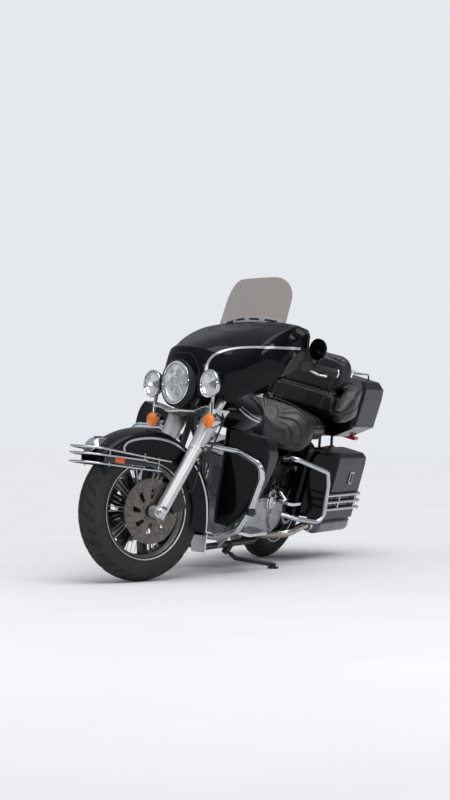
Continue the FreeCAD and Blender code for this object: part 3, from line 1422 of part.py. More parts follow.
def pak_rail():
    """Low bright rack on the trunk's lid."""
    half = 176
    high = s.pak_top + 26
    side = rod([(-160, half, s.pak_top), (-176, half, high), (-420, half, high), (-450, half, s.pak_top)], 5, 16)
    ties = [bar((x, -half, high), (x, half, high), 4) for x in (-220, -300, -380)]
    return joined([side, mirrored(side)] + ties).cut(pak_lid())


PAK_HINGE = V(0, -s.pak_half - 2, s.pak_seam)
keep(pak_tub(), "trunk", CHASSIS)
keep(pak_lid(), "trunk_lid", "trunk_lid")
keep(pak_rail(), "trunk_rail", "trunk_lid")


def trunk_lamps():
    """Red lamps under the rear corners of the trunk."""
    lamp = block((-486, 118, s.pak_floor - 18), (-424, 196, s.pak_floor + 10))
    return both_sides(largest(lamp.cut(Part.makeLoft(
        [pak_wire(s.pak_floor + (s.pak_seam - s.pak_floor) * a, s.pak_half * b) for a, b in PAK_TUB], True, True))))


def tail_group():
    """Tail lamp and blank number plate on the rear fender."""
    rear = -s.fender_radius
    lamp = block((rear - 34, -60, 470), (rear + 60, 60, 530))
    number = block((rear - 40, -90, 372), (rear - 36, 90, 462))
    stay = block((rear - 36, -14, 380), (rear + 30, 14, 520))
    arch = bar((0, -200, s.tyre_radius), (0, 200, s.tyre_radius), s.fender_radius - 6 + s.seat_gap)
    return largest(joined([lamp, number, stay]).cut(arch))


def rear_signals():
    """Bar with a turn signal at each end, behind the rear fender."""
    rear = -s.fender_radius
    bar_z = 545
    shapes = [rod([(rear + 60, 0, bar_z), (rear - 30, 60, bar_z), (rear - 50, 150, bar_z)], 8, 30)]
    r = 31
    shapes.append(turned([(0, -30), (r, -16), (r, 10), (0, 22)], V(rear - 50, 168, bar_z), V(-1, 0, 0)))
    half = joined(shapes)
    arch = bar((0, -200, s.tyre_radius), (0, 200, s.tyre_radius), s.fender_radius - 6 + s.seat_gap)
    return joined([half, mirrored(half)]).cut(arch)


keep(joined([trunk_lamps(), tail_group(), rear_signals()]), "rear_lamps", CHASSIS)


# Guards, lower fairings and footboards

GUARD_ROUTE = [
    (s.wheelbase - 358, 50, 642), (s.wheelbase - 430, 210, 655), (s.wheelbase - 440, 336, 622),
    (s.wheelbase - 452, 352, 560), (s.wheelbase - 462, 332, 398), (s.wheelbase - 470, 292, 290),
    (s.wheelbase - 486, 200, 228), (s.wheelbase - 492, 90, 206), (s.wheelbase - 494, 0, 204),
]


def engine_guard():
    """Bright hoop on each side, joined under the frame's downtubes."""
    left = rod(GUARD_ROUTE, s.guard_radius, 60)
    return joined([left, mirrored(left)]).cut(FRAME)


# columns: height, then x from the front axle and y of the inner front, outer front, outer rear
# and inner rear corners
LOWERS = [
    (292, -463, 158, -486, 236, -538, 236, -528, 158),
    (420, -453, 146, -478, 316, -560, 324, -523, 146),
    (560, -433, 140, -468, 350, -582, 354, -508, 140),
    (690, -398, 136, -450, 350, -600, 352, -493, 136),
    (745, -378, 136, -430, 322, -570, 322, -473, 136),
]


def lower_fairing():
    """Left leg shield that the engine guard passes through."""
    wires = []
    for height, *pairs in LOWERS:
        corners = [V(s.wheelbase + pairs[i], pairs[i + 1], height) for i in (0, 2, 4, 6)]
        wires.append(loop(corners, 24))
    passage = rod(GUARD_ROUTE, s.guard_radius + s.seat_gap, 60)
    return largest(loft(wires).cut(passage))


HOOP_ROUTE = [
    (UPRIGHT - 18, RAIL_OUT + 6, 578), (480, 180, 604), (548, 262, 622), (246, 332, 566), (196, 334, 500),
    (134, 332, 336), (160, 322, 296), (250, 240, 290), (PIVOT.x - 46, ARM_OUT + ARM_WIDTH + 6, 298),
]
RAIL_ROWS = (436, 398, 360)


def saddlebag_guard():
    """Hoop ahead of the bag with three rails along its side."""
    hoop = rod([(x, y, z) for x, y, z in HOOP_ROUTE], s.hoop_radius, 40)
    ball = s.rail_radius * 1.4
    out = s.bag_outer + s.seat_gap + ball + 1
    shapes = [hoop]
    for row, z in enumerate(RAIL_ROWS):
        start = 134 + (z - 336) * 0.36
        end = -344 - 12 * row
        shapes.append(bar((start, 330, z), (start - 60, out, z), s.rail_radius))
        shapes.append(bar((start - 60, out, z), (end, out, z), s.rail_radius))
        shapes.append(Part.makeSphere(s.rail_radius, V(start - 60, out, z)))
        shapes.append(Part.makeSphere(ball, V(end, out, z)))
    shapes.append(bar((-60, out, RAIL_ROWS[0]), (-60, out, RAIL_ROWS[-1]), 5))
    shapes.append(bar((-300, out, RAIL_ROWS[0]), (-300, out, RAIL_ROWS[-1]), 5))
    inner = bar((-60, out, RAIL_ROWS[1]), (-60, s.bag_outer + s.seat_gap, RAIL_ROWS[1]), 5)
    return largest(joined(shapes + [inner]).cut(FRAME).cut(SWINGARM))


def footboard(start, end, height, inner, outer, route):
    """Left board on a bracket from the frame."""
    board = plate([(start, inner, height), (end, inner, height), (end - 14, outer, height), (start + 14, outer, height)],
                  22, (0, 0, 14))
    bracket = largest(rod(route, 9, 20).cut(FRAME))
    return joined([board, bracket])


def rider_board():
    """Left footboard with the foot lever that rises from its bracket."""
    low = s.rail_height
    route = [(930, s.rail_spread + 14, low), (940, 190, 238), (940, 270, 258)]
    board = footboard(800, 1066, 262, 226, 322, route)
    lever_rod = rod([(942, 206, 246), (956, 206, 318), (1012, 246, 346)], 7, 20)
    pad = bar((1010, 214, 346), (1010, 280, 346), 11)
    return joined([board, lever_rod, pad])


def passenger_board():
    route = [(UPRIGHT, RAIL_OUT + BOSS_LENGTH, BOSS_HEIGHT), (UPRIGHT, 170, BOSS_HEIGHT),
             (520, 214, BOSS_HEIGHT), (524, 262, 400)]
    return footboard(440, 610, 396, 214, 318, route)


keep(both_sides(lower_fairing()), "lower_fairings", CHASSIS)
keep(both_sides(saddlebag_guard()), "saddlebag_guards", CHASSIS)
keep(engine_guard(), "engine_guard", CHASSIS)
keep(both_sides(joined([rider_board(), passenger_board()])), "foot_controls", CHASSIS)


def side_cover():
    """Left painted cover under the seat."""
    y = RAIL_OUT + s.frame_radius + s.seat_gap
    return plate([(300, y, 462), (486, y, 470), (476, y, 556), (330, y, 552)], 26, (0, 9, 0))


keep(both_sides(side_cover()), "side_covers", CHASSIS)


# Place everything

def lowest_of_tyre(turn, centre):
    """Height of a round-section tyre's lowest point, its wheel turned and placed."""
    across = turn.multVec(ACROSS)
    section = s.tyre_width / 2
    return centre.z - (s.tyre_radius - section) * math.sqrt(1 - across.z ** 2) - section


STEER_TURN = FreeCAD.Rotation(STEER_AXIS, -s.steer_lock)
STEERED_PLACE = FreeCAD.Placement(V(0, 0, 0), STEER_TURN, STEER_POINT)


def standing_place():
    """Lean and pitch that set both tyres on the ground."""
    pitch = 0.0
    for _ in range(6):
        turn = FreeCAD.Rotation(ACROSS, pitch).multiply(FreeCAD.Rotation(V(1, 0, 0), -s.lean))
        rear = lowest_of_tyre(turn, turn.multVec(REAR_AXLE))
        front_centre = turn.multVec(STEERED_PLACE.multVec(FRONT_AXLE))
        front = lowest_of_tyre(turn.multiply(STEER_TURN), front_centre)
        pitch += math.degrees((front - rear) / s.wheelbase)
    return FreeCAD.Placement(V(0, 0, -rear), turn)


STANDING = standing_place()
TO_BIKE = STANDING.inverse()


def side_stand():
    """Stand leg with its eye, foot and bumper; the foot lies flat on the ground."""
    foot = V(s.stand_foot_forward, s.stand_foot_out, 0)
    down = TO_BIKE.Rotation.multVec(UP)
    sole = TO_BIKE.multVec(foot)
    ankle = sole + down * 20
    eye = bar(STAND_PIVOT - STAND_AXIS * STAND_EYE_HALF, STAND_PIVOT + STAND_AXIS * STAND_EYE_HALF, STAND_EYE_RADIUS)
    hole = bar(STAND_PIVOT - STAND_AXIS * 30, STAND_PIVOT + STAND_AXIS * 30, s.pivot_radius + s.running_gap)
    outward = ankle - STAND_PIVOT
    flat = outward - STAND_AXIS * outward.dot(STAND_AXIS)
    flat.normalize()
    knee = STAND_PIVOT + flat * 62 - STAND_AXIS * 4
    neck = bar(STAND_PIVOT + flat * 12, STAND_PIVOT + flat * 38, 8.5)
    leg = rod([STAND_PIVOT + flat * 28, knee, ankle], s.stand_radius, 40)
    pad = Part.makeCylinder(27, 9, sole, down)
    shank = bar(sole, ankle + down * 6, 15)
    return joined([eye, neck, leg, pad, shank]).cut(hole)


keep(side_stand(), "side_stand", "side_stand")

for thing, group, spot in nodes:
    steered = group in (STEERED, "front_wheel")
    place = STANDING.multiply(STEERED_PLACE) if steered else STANDING
    thing.Placement = place.multiply(spot)
doc.recompute()

box = FreeCAD.BoundBox()
for thing, group, spot in nodes:
    box.add(thing.Shape.optimalBoundingBox(False))
shift = V(-box.Center.x, -box.Center.y, -box.ZMin)
for thing, group, spot in nodes:
    placed = thing.Placement
    placed.Base = placed.Base + shift
    thing.Placement = placed
doc.recompute()

for thing in doc.Objects:
    if "Invalid" in thing.State or "Error" in thing.State:
        raise RuntimeError(f"{thing.Label} failed: {thing.State}")
for thing, group, spot in nodes:
    if thing.Shape.isNull() or not thing.Shape.isValid():
        raise RuntimeError(f"{thing.Label} has no valid shape")
for thing, group, spot in nodes:
    thing.Shape.exportStep(f"parts/{thing.Label}.step")


# Say where the joints are

def report(name, point, direction, steered=False):
    if steered:
        point = STEERED_PLACE.multVec(point)
        direction = STEER_TURN.multVec(direction)
    point = STANDING.multVec(point) + shift
    direction = STANDING.Rotation.multVec(direction)
    print("place", name, *[round(v, 6) for v in (*point, *direction)])


report("steering", axis_point((s.head_low + s.head_high) / 2), STEER_AXIS)
report("front_wheel_spin", FRONT_AXLE, ACROSS, steered=True)
report("rear_wheel_spin", REAR_AXLE, ACROSS)
report("side_stand_hinge", STAND_PIVOT, STAND_AXIS)
report("bag_lid_left_hinge", BAG_HINGE, V(1, 0, 0))
report("bag_lid_right_hinge", V(0, -BAG_HINGE.y, BAG_HINGE.z), V(1, 0, 0))
report("trunk_lid_hinge", PAK_HINGE, V(1, 0, 0))
for thing, group, spot in nodes:
    print("node", thing.Label, group, len(thing.Shape.Solids))
print("box", *[round(v) for v in (box.XLength, box.YLength, box.ZLength)])
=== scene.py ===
import math

import bpy
from mathutils import Matrix, Vector, noise
from mathutils.bvhtree import BVHTree


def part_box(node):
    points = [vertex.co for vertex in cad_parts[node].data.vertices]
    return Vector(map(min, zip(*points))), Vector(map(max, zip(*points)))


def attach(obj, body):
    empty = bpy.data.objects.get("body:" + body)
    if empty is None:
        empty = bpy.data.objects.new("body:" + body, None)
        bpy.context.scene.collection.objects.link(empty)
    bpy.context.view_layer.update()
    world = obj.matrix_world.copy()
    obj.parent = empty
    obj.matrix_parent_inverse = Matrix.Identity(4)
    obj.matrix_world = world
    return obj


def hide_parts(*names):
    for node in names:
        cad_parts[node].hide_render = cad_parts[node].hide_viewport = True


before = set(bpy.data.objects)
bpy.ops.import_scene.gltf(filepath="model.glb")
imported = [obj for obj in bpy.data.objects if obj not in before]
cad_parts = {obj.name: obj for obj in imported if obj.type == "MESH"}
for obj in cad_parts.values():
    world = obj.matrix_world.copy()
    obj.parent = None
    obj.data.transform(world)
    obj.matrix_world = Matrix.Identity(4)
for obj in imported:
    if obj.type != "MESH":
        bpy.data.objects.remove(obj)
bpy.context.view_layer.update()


# Where the motorcycle stands
# Pieces are modelled in millimetres on the upright motorcycle, steered straight ahead: X forward from
# the rear axle, Y to the rider's left, Z up from the ground. They are then leaned onto the side stand.

MM = 0.001
TYRE_RADIUS = 318.0
WHEELBASE = 1613.0
LEAN = math.radians(-16)
PITCH = -0.00623
STEERED_BY = math.radians(-31)
STEERING_AXIS = Vector((-math.sin(math.radians(26)), 0, math.cos(math.radians(26))))
STEERING_POINT = Vector((1770, 0, 0))


def middle(node):
    low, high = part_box(node)
    return (Vector(low) + Vector(high)) / 2


STANDING = (Matrix.Translation(middle("rear_tyre")) @ Matrix.Rotation(PITCH, 4, "Y")
            @ Matrix.Rotation(LEAN, 4, "X") @ Matrix.Scale(MM, 4) @ Matrix.Translation((0, 0, -TYRE_RADIUS)))
STEERED = (STANDING @ Matrix.Translation(STEERING_POINT) @ Matrix.Rotation(STEERED_BY, 4, STEERING_AXIS)
           @ Matrix.Translation(-STEERING_POINT))
PLACES = {"front_end": STEERED, "front_wheel": STEERED}


def place_of(body):
    return PLACES.get(body, STANDING)


# Materials

def linear(code):
    """Linear colour of an sRGB hex value."""
    parts = [int(code[i:i + 2], 16) / 255 for i in (0, 2, 4)]
    return [c / 12.92 if c <= 0.04045 else ((c + 0.055) / 1.055) ** 2.4 for c in parts] + [1.0]


def add(tree, kind, options=None, inputs=None):
    """One node with its settings, its values and what feeds it."""
    made = tree.nodes.new(kind)
    for key, value in (options or {}).items():
        setattr(made, key, value)
    for key, value in (inputs or {}).items():
        if isinstance(value, bpy.types.NodeSocket):
            tree.links.new(value, made.inputs[key])
        else:
            made.inputs[key].default_value = value
    return made


def empty_material(name):
    material = bpy.data.materials.new(name)
    material.use_nodes = True
    material.node_tree.nodes.clear()
    return material, material.node_tree


def close(tree, shader):
    add(tree, "ShaderNodeOutputMaterial", None, {"Surface": shader.outputs[0]})


def finish(name, colour, worn, metallic=0.0, rough=(0.3, 0.5), grain=1.0, relief=0.02, patch=60.0, edge=None,
           settings=None):
    """Surface with fine grain, cloudy colour and roughness, and edges that wear. Sizes are in millimetres."""
    material, tree = empty_material(name)
    spot = add(tree, "ShaderNodeTexCoord").outputs["Object"]
    fine = add(tree, "ShaderNodeTexNoise", None,
               {"Vector": spot, "Scale": 1 / (grain * MM), "Detail": 4.0, "Roughness": 0.6})
    cloud = add(tree, "ShaderNodeTexNoise", None,
                {"Vector": spot, "Scale": 1 / (patch * MM), "Detail": 6.0, "Roughness": 0.62})
    share = add(tree, "ShaderNodeMapRange", None,
                {"Value": cloud.outputs["Fac"], "From Min": 0.35, "From Max": 0.72})
    tint = add(tree, "ShaderNodeMix", {"data_type": "RGBA"},
               {"Factor": share.outputs[0], 6: linear(colour), 7: linear(worn)})
    shade = tint.outputs[2]
    if edge:
        corners = add(tree, "ShaderNodeNewGeometry")
        mask = add(tree, "ShaderNodeMapRange", None,
                   {"Value": corners.outputs["Pointiness"], "From Min": 0.53, "From Max": 0.62})
        broken = add(tree, "ShaderNodeMath", {"operation": "MULTIPLY"},
                     {0: mask.outputs[0], 1: cloud.outputs["Fac"]})
        rubbed = add(tree, "ShaderNodeMix", {"data_type": "RGBA"},
                     {"Factor": broken.outputs[0], 6: shade, 7: linear(edge)})
        shade = rubbed.outputs[2]
    mixed = add(tree, "ShaderNodeMath", {"operation": "MULTIPLY_ADD"},
                {0: fine.outputs["Fac"], 1: 0.35, 2: share.outputs[0]})
    gloss = add(tree, "ShaderNodeMapRange", None,
                {"Value": mixed.outputs[0], "From Max": 1.3, "To Min": rough[0], "To Max": rough[1]})
    bump = add(tree, "ShaderNodeBump", None,
               {"Height": fine.outputs["Fac"], "Distance": relief * MM, "Strength": 1.0})
    inputs = {"Base Color": shade, "Roughness": gloss.outputs[0], "Normal": bump.outputs[0],
              "Metallic": metallic}
    inputs.update(settings or {})
    close(tree, add(tree, "ShaderNodeBsdfPrincipled", None, inputs))
    return material


# Two-coat gloss enamel: black under a hard clear coat, with the slight waviness of sprayed lacquer
PAINT = finish("black_gloss_enamel", "030306", "06050a", 0.0, (0.3, 0.4), 9.0, 0.03, 400.0, None,
               {"Coat Weight": 0.45, "Coat Roughness": 0.025, "Coat IOR": 1.38, "Specular IOR Level": 0.06,
                "Coat Tint": linear("e4e0f4")})
# Chromium plate on steel: near mirror, with faint haze and water marks
CHROME = finish("chromium_plate", "c9ccd0", "b4b8bd", 1.0, (0.05, 0.13), 6.0, 0.01, 45.0, "e4e6e8")
# Vacuum-metallised reflector: bright, slightly orange-peeled
MIRROR = finish("metallised_reflector", "f2f4f6", "e2e5e9", 0.75, (0.12, 0.25), 5.0, 0.008, 20.0, None)
# Satin aluminium, turned and lacquered: soft silver of the fork sliders
SATIN = finish("satin_aluminium", "d3d4d6", "c2c4c7", 0.9, (0.34, 0.46), 0.8, 0.02, 70.0, "e4e5e6")
# Polished and lacquered alloy of the primary case
PRIMARY_ALLOY = finish("polished_primary_alloy", "9fa1a4", "85878b", 0.95, (0.22, 0.38), 1.4, 0.02, 60.0,
                       "c9cbcd")
# Silver lacquer line
STRIPE = finish("silver_lacquer", "b9babd", "a5a6aa", 0.75, (0.28, 0.38), 0.7, 0.01, 60.0, None,
                {"Coat Weight": 0.7, "Coat Roughness": 0.05})
# Cast aluminium, shot-blasted: grey with a sandy skin
CAST = finish("cast_aluminium", "8b8e92", "6f7276", 1.0, (0.38, 0.55), 1.2, 0.09, 35.0, "c4c6c9")
# Black satin enamel on the frame, stand and brackets
ENAMEL = finish("black_satin_enamel", "08080a", "101013", 0.0, (0.35, 0.55), 0.9, 0.05, 60.0, None,
                {"Coat Weight": 0.2, "Coat Roughness": 0.25})
# Gloss black powder coat on the cast wheels
WHEEL = finish("black_powder_coat", "060607", "0b0b0d", 0.0, (0.32, 0.45), 2.2, 0.03, 50.0, None,
               {"Coat Weight": 0.25, "Coat Roughness": 0.12, "Specular IOR Level": 0.3})
# Grained black ABS of the inner fairing
ABS = finish("grained_black_abs", "0e0e10", "17171a", 0.0, (0.45, 0.62), 0.9, 0.08, 90.0, "26262a")
# Nitrile rubber: grips, pads, bumpers and hoses
RUBBER = finish("moulded_rubber", "0d0d0e", "19191a", 0.0, (0.6, 0.8), 0.7, 0.06, 40.0, "2b2b2c")
# Brushed muffler steel, dulled by heat
MUFFLER = finish("muffler_steel", "70747a", "565a60", 1.0, (0.26, 0.42), 1.6, 0.02, 80.0, "a9adb2")
# Chromium-plated exhaust pipe, yellowed by heat
PIPE = finish("heated_chrome_pipe", "bdbbb6", "a39c90", 1.0, (0.1, 0.22), 3.0, 0.01, 55.0, "d9d4c8")
# Grey anodised hardware
ANODISED = finish("grey_anodised_steel", "5d6064", "494c50", 1.0, (0.35, 0.5), 0.8, 0.03, 30.0, "97999c")
# Matt black paint on dials; the same black is painted shade along the fairing's creases and in drilled holes
# and outlets
DARK = finish("matt_black_paint_and_painted_shade", "040405", "070708", 0.0, (0.6, 0.75), 1.0, 0.02, 30.0, None)


def leather_hide():
    """Black vinyl-backed hide: pebbled grain about 1.6 mm across, duller in cloudy patches."""
    material, tree = empty_material("black_leather")
    spot = add(tree, "ShaderNodeTexCoord").outputs["Object"]
    pebbles = add(tree, "ShaderNodeTexVoronoi", {"feature": "DISTANCE_TO_EDGE"},
                  {"Vector": spot, "Scale": 1 / (1.7 * MM)})
    crease = add(tree, "ShaderNodeMapRange", None,
                 {"Value": pebbles.outputs["Distance"], "From Max": 0.18})
    folds = add(tree, "ShaderNodeTexNoise", None,
                {"Vector": spot, "Scale": 1 / (22 * MM), "Detail": 5.0, "Distortion": 0.7})
    height = add(tree, "ShaderNodeMath", {"operation": "MULTIPLY_ADD"},
                 {0: folds.outputs["Fac"], 1: 2.2, 2: crease.outputs[0]})
    bump = add(tree, "ShaderNodeBump", None,
               {"Height": height.outputs[0], "Distance": 0.16 * MM, "Strength": 0.8})
    cloud = add(tree, "ShaderNodeTexNoise", None, {"Vector": spot, "Scale": 1 / (120 * MM), "Detail": 4.0})
    tint = add(tree, "ShaderNodeMix", {"data_type": "RGBA"},
               {"Factor": cloud.outputs["Fac"], 6: linear("08090b"), 7: linear("131418")})
    gloss = add(tree, "ShaderNodeMapRange", None,
                {"Value": cloud.outputs["Fac"], "From Min": 0.3, "From Max": 0.7,
                 "To Min": 0.33, "To Max": 0.5})
    close(tree, add(tree, "ShaderNodeBsdfPrincipled", None,
                    {"Base Color": tint.outputs[2], "Roughness": gloss.outputs[0], "Normal": bump.outputs[0],
                     "Coat Weight": 0.25, "Coat Roughness": 0.3}))
    return material


def tyre_rubber(body):
    """Road tyre: carbon-black rubber with dust on the crown, and painted shade that darkens it down in the
    grooves.
    """
    material, tree = empty_material("road_tyre_rubber_" + body)
    spot = add(tree, "ShaderNodeTexCoord").outputs["Object"]
    dust = add(tree, "ShaderNodeTexNoise", None, {"Vector": spot, "Scale": 1 / (30 * MM), "Detail": 6.0})
    grit = add(tree, "ShaderNodeTexNoise", None, {"Vector": spot, "Scale": 1 / (0.9 * MM), "Detail": 3.0})
    share = add(tree, "ShaderNodeMapRange", None,
                {"Value": dust.outputs["Fac"], "From Min": 0.4, "From Max": 0.7})
    tint = add(tree, "ShaderNodeMix", {"data_type": "RGBA"},
               {"Factor": share.outputs[0], 6: linear("131314"), 7: linear("262422")})
    # The depth pressed into each groove darkens the rubber towards black: painted shade in the grooves.
    pressed = add(tree, "ShaderNodeAttribute", {"attribute_name": "pressed"}).outputs["Fac"]
    painted_groove_shade = add(tree, "ShaderNodeMapRange", None, {"Value": pressed, "From Min": 0.4, "From Max": 2.6})
    shaded = add(tree, "ShaderNodeMix", {"data_type": "RGBA"},
                 {"Factor": painted_groove_shade.outputs[0], 6: tint.outputs[2], 7: linear("020202")})
    gloss = add(tree, "ShaderNodeMapRange", None,
                {"Value": dust.outputs["Fac"], "To Min": 0.55, "To Max": 0.85})
    bump = add(tree, "ShaderNodeBump", None, {"Height": grit.outputs["Fac"], "Distance": 0.05 * MM})
    close(tree, add(tree, "ShaderNodeBsdfPrincipled", None,
                    {"Base Color": shaded.outputs[2], "Roughness": gloss.outputs[0],
                     "Normal": bump.outputs[0]}))
    return material


def brushed_disc(name, node, colour, worn, body):
    """Ground stainless steel: fine rings round the wheel's axle, turned lighter in cloudy patches."""
    material, tree = empty_material(name)
    spot = add(tree, "ShaderNodeTexCoord").outputs["Object"]
    turned = place_of(body).to_3x3().inverted().to_euler()
    centre = middle(node)
    moved = add(tree, "ShaderNodeVectorMath", {"operation": "SUBTRACT"}, {0: spot, 1: centre})
    local = add(tree, "ShaderNodeMapping", {"vector_type": "POINT"},
                {"Vector": moved.outputs[0], "Rotation": turned})
    split = add(tree, "ShaderNodeSeparateXYZ", None, {0: local.outputs[0]})
    flat = add(tree, "ShaderNodeCombineXYZ", None, {0: split.outputs[0], 1: split.outputs[2]})
    reach = add(tree, "ShaderNodeVectorMath", {"operation": "LENGTH"}, {0: flat.outputs[0]})
    lines = add(tree, "ShaderNodeTexNoise", {"noise_dimensions": "1D"},
                {"W": reach.outputs["Value"], "Scale": 1 / (0.8 * MM), "Detail": 3.0})
    cloud = add(tree, "ShaderNodeTexNoise", None, {"Vector": spot, "Scale": 1 / (35 * MM), "Detail": 5.0})
    both = add(tree, "ShaderNodeMath", {"operation": "MULTIPLY"},
               {0: lines.outputs["Fac"], 1: cloud.outputs["Fac"]})
    share = add(tree, "ShaderNodeMapRange", None,
                {"Value": both.outputs[0], "From Min": 0.15, "From Max": 0.4})
    tint = add(tree, "ShaderNodeMix", {"data_type": "RGBA"},
               {"Factor": share.outputs[0], 6: linear(colour), 7: linear(worn)})
    gloss = add(tree, "ShaderNodeMapRange", None,
                {"Value": lines.outputs["Fac"], "To Min": 0.28, "To Max": 0.5})
    bump = add(tree, "ShaderNodeBump", None, {"Height": lines.outputs["Fac"], "Distance": 0.03 * MM})
    close(tree, add(tree, "ShaderNodeBsdfPrincipled", None,
                    {"Base Color": tint.outputs[2], "Roughness": gloss.outputs[0], "Normal": bump.outputs[0],
                     "Metallic": 1.0}))
    return material


def sheer(name, colour, worn, alpha, rough=0.04):
    """Thin clear moulding that lets light straight through, with faint polishing marks."""
    material, tree = empty_material(name)
    spot = add(tree, "ShaderNodeTexCoord").outputs["Object"]
    marks = add(tree, "ShaderNodeTexNoise", None,
                {"Vector": spot, "Scale": 1 / (14 * MM), "Detail": 5.0, "Roughness": 0.7})
    gloss = add(tree, "ShaderNodeMapRange", None,
                {"Value": marks.outputs["Fac"], "To Min": rough * 0.5, "To Max": rough * 1.5})
    tint = add(tree, "ShaderNodeMix", {"data_type": "RGBA"},
               {"Factor": marks.outputs["Fac"], 6: linear(colour), 7: linear(worn)})
    bump = add(tree, "ShaderNodeBump", None, {"Height": marks.outputs["Fac"], "Distance": 0.01 * MM})
    close(tree, add(tree, "ShaderNodeBsdfPrincipled", None,
                    {"Base Color": tint.outputs[2], "Roughness": gloss.outputs[0], "Normal": bump.outputs[0],
                     "Alpha": alpha, "Specular IOR Level": 0.8}))
    return material


def fluted(name, colour, pitch, weight, dark, glow=0.0):
    """Lens plastic with moulded prisms that show as a fine diamond pattern."""
    material, tree = empty_material(name)
    spot = add(tree, "ShaderNodeTexCoord").outputs["Object"]
    cells = add(tree, "ShaderNodeTexVoronoi", {"feature": "F1", "distance": "MANHATTAN"},
                {"Vector": spot, "Scale": 1 / (pitch * MM), "Randomness": 0.15})
    tint = add(tree, "ShaderNodeMix", {"data_type": "RGBA"},
               {"Factor": cells.outputs["Distance"], 6: linear(colour), 7: linear(dark)})
    haze = add(tree, "ShaderNodeTexNoise", None, {"Vector": spot, "Scale": 1 / (12 * MM), "Detail": 3.0})
    gloss = add(tree, "ShaderNodeMapRange", None,
                {"Value": haze.outputs["Fac"], "To Min": 0.08, "To Max": 0.22})
    bump = add(tree, "ShaderNodeBump", None, {"Height": cells.outputs["Distance"], "Distance": 0.5 * MM})
    close(tree, add(tree, "ShaderNodeBsdfPrincipled", None,
                    {"Base Color": tint.outputs[2], "Roughness": gloss.outputs[0], "Normal": bump.outputs[0],
                     "Transmission Weight": weight, "IOR": 1.49, "Coat Weight": 0.6, "Coat Roughness": 0.04,
                     "Emission Color": tint.outputs[2], "Emission Strength": glow}))
    return material


LEATHER = leather_hide()
SMOKE = sheer("smoked_acrylic", "6b5444", "77604f", 0.5)
GLASS = sheer("clear_lens_glass", "eef2f4", "dfe4e7", 0.16)
AMBER = fluted("amber_lens", "ff9418", 5.0, 0.1, "d06404", 0.22)
RED = fluted("red_lens", "d01428", 5.0, 0.1, "96081a", 0.1)
DARK_RED = fluted("dark_red_lens", "6b1a20", 4.0, 0.1, "3a0a10")
# The reflector is no lamp: its faint glow is a painted glint.
ORANGE = fluted("orange_reflector", "ec5a1c", 3.0, 0.0, "b83c0c", 0.05)
FRONT_DISC = brushed_disc("ground_disc_steel", "front_brake_discs", "615d59", "87827c", "front_wheel")
REAR_DISC = brushed_disc("ground_rear_disc", "rear_brake_disc", "615d59", "87827c", "rear_wheel")

NODE_MATERIALS = {
    "front_tyre": tyre_rubber("front"), "rear_tyre": tyre_rubber("rear"), "front_cast_wheel": WHEEL,
    "rear_cast_wheel": WHEEL, "front_brake_discs": FRONT_DISC, "rear_brake_disc": REAR_DISC,
    "rear_pulley": CAST, "front_axle": CHROME, "rear_axle": CHROME, "fork_legs": SATIN,
    "fork_clamps": ENAMEL, "fork_covers": SATIN, "handlebar": CHROME, "grips": RUBBER,
    "hand_levers": CHROME, "outer_fairing": PAINT, "inner_fairing": ABS, "windshield": SMOKE,
    "headlamp": CHROME, "light_bar": CHROME, "spot_lamps": CHROME, "front_turn_signals": CHROME,
    "mirrors": PAINT, "front_fender": PAINT, "fender_lamp": CHROME, "fender_rails": CHROME,
    "mud_flap": SATIN, "front_calipers": ENAMEL, "brake_hoses": RUBBER, "frame": ENAMEL,
    "swingarm": ENAMEL, "engine": CAST, "primary_cover": PRIMARY_ALLOY, "air_cleaner": CHROME,
    "horn": CHROME, "drive_belt": RUBBER, "rear_shocks": ENAMEL, "exhaust_pipes": PIPE,
    "mufflers": MUFFLER, "fuel_tank": PAINT, "tank_console": ABS, "rear_fender": PAINT,
    "saddlebags": PAINT, "saddlebag_lid_left": PAINT, "saddlebag_lid_right": PAINT, "trunk": PAINT,
    "trunk_lid": PAINT, "trunk_rail": CHROME, "rear_lamps": RED, "lower_fairings": PAINT,
    "saddlebag_guards": CHROME, "engine_guard": CHROME, "foot_controls": CHROME, "side_covers": PAINT,
    "side_stand": ENAMEL, "rider_seat": LEATHER, "passenger_seat": LEATHER, "passenger_backrest": LEATHER,
}

for node, material in NODE_MATERIALS.items():
    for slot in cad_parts[node].material_slots:
        slot.material = material


# Modelling, in millimetres on the upright motorcycle

def unselect():
    if bpy.context.object and bpy.context.object.mode != "OBJECT":
        bpy.ops.object.mode_set(mode="OBJECT")
    bpy.ops.object.select_all(action="DESELECT")


def take(piece):
    """Makes one object the selected and active one."""
    unselect()
    piece.select_set(True)
    bpy.context.view_layer.objects.active = piece


def modify(piece, kind, **settings):
    """Adds one modifier and applies it."""
    take(piece)
    made = piece.modifiers.new(kind, kind)
    for key, value in settings.items():
        setattr(made, key, value)
    bpy.ops.object.modifier_apply(modifier=made.name)


def facing(axis):
    return Vector(axis).to_track_quat("Z", "Y").to_matrix().to_4x4()


def put(piece, name, body, material, smooth=40, recount=False):
    """Takes a modelled piece to its place on the standing motorcycle and lets it ride there."""
    take(piece)
    if recount:
        bpy.ops.object.mode_set(mode="EDIT")
        bpy.ops.mesh.select_all(action="SELECT")
        bpy.ops.mesh.remove_doubles(threshold=0.01)
        bpy.ops.mesh.normals_make_consistent(inside=False)
        bpy.ops.object.mode_set(mode="OBJECT")
    bpy.ops.object.transform_apply(location=True, rotation=True, scale=True)
    bpy.ops.object.shade_smooth_by_angle(angle=math.radians(smooth))
    piece.data.transform(place_of(body))
    piece.name = name
    piece.data.name = name
    piece.data.materials.clear()
    piece.data.materials.append(material)
    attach(piece, body)
    return piece


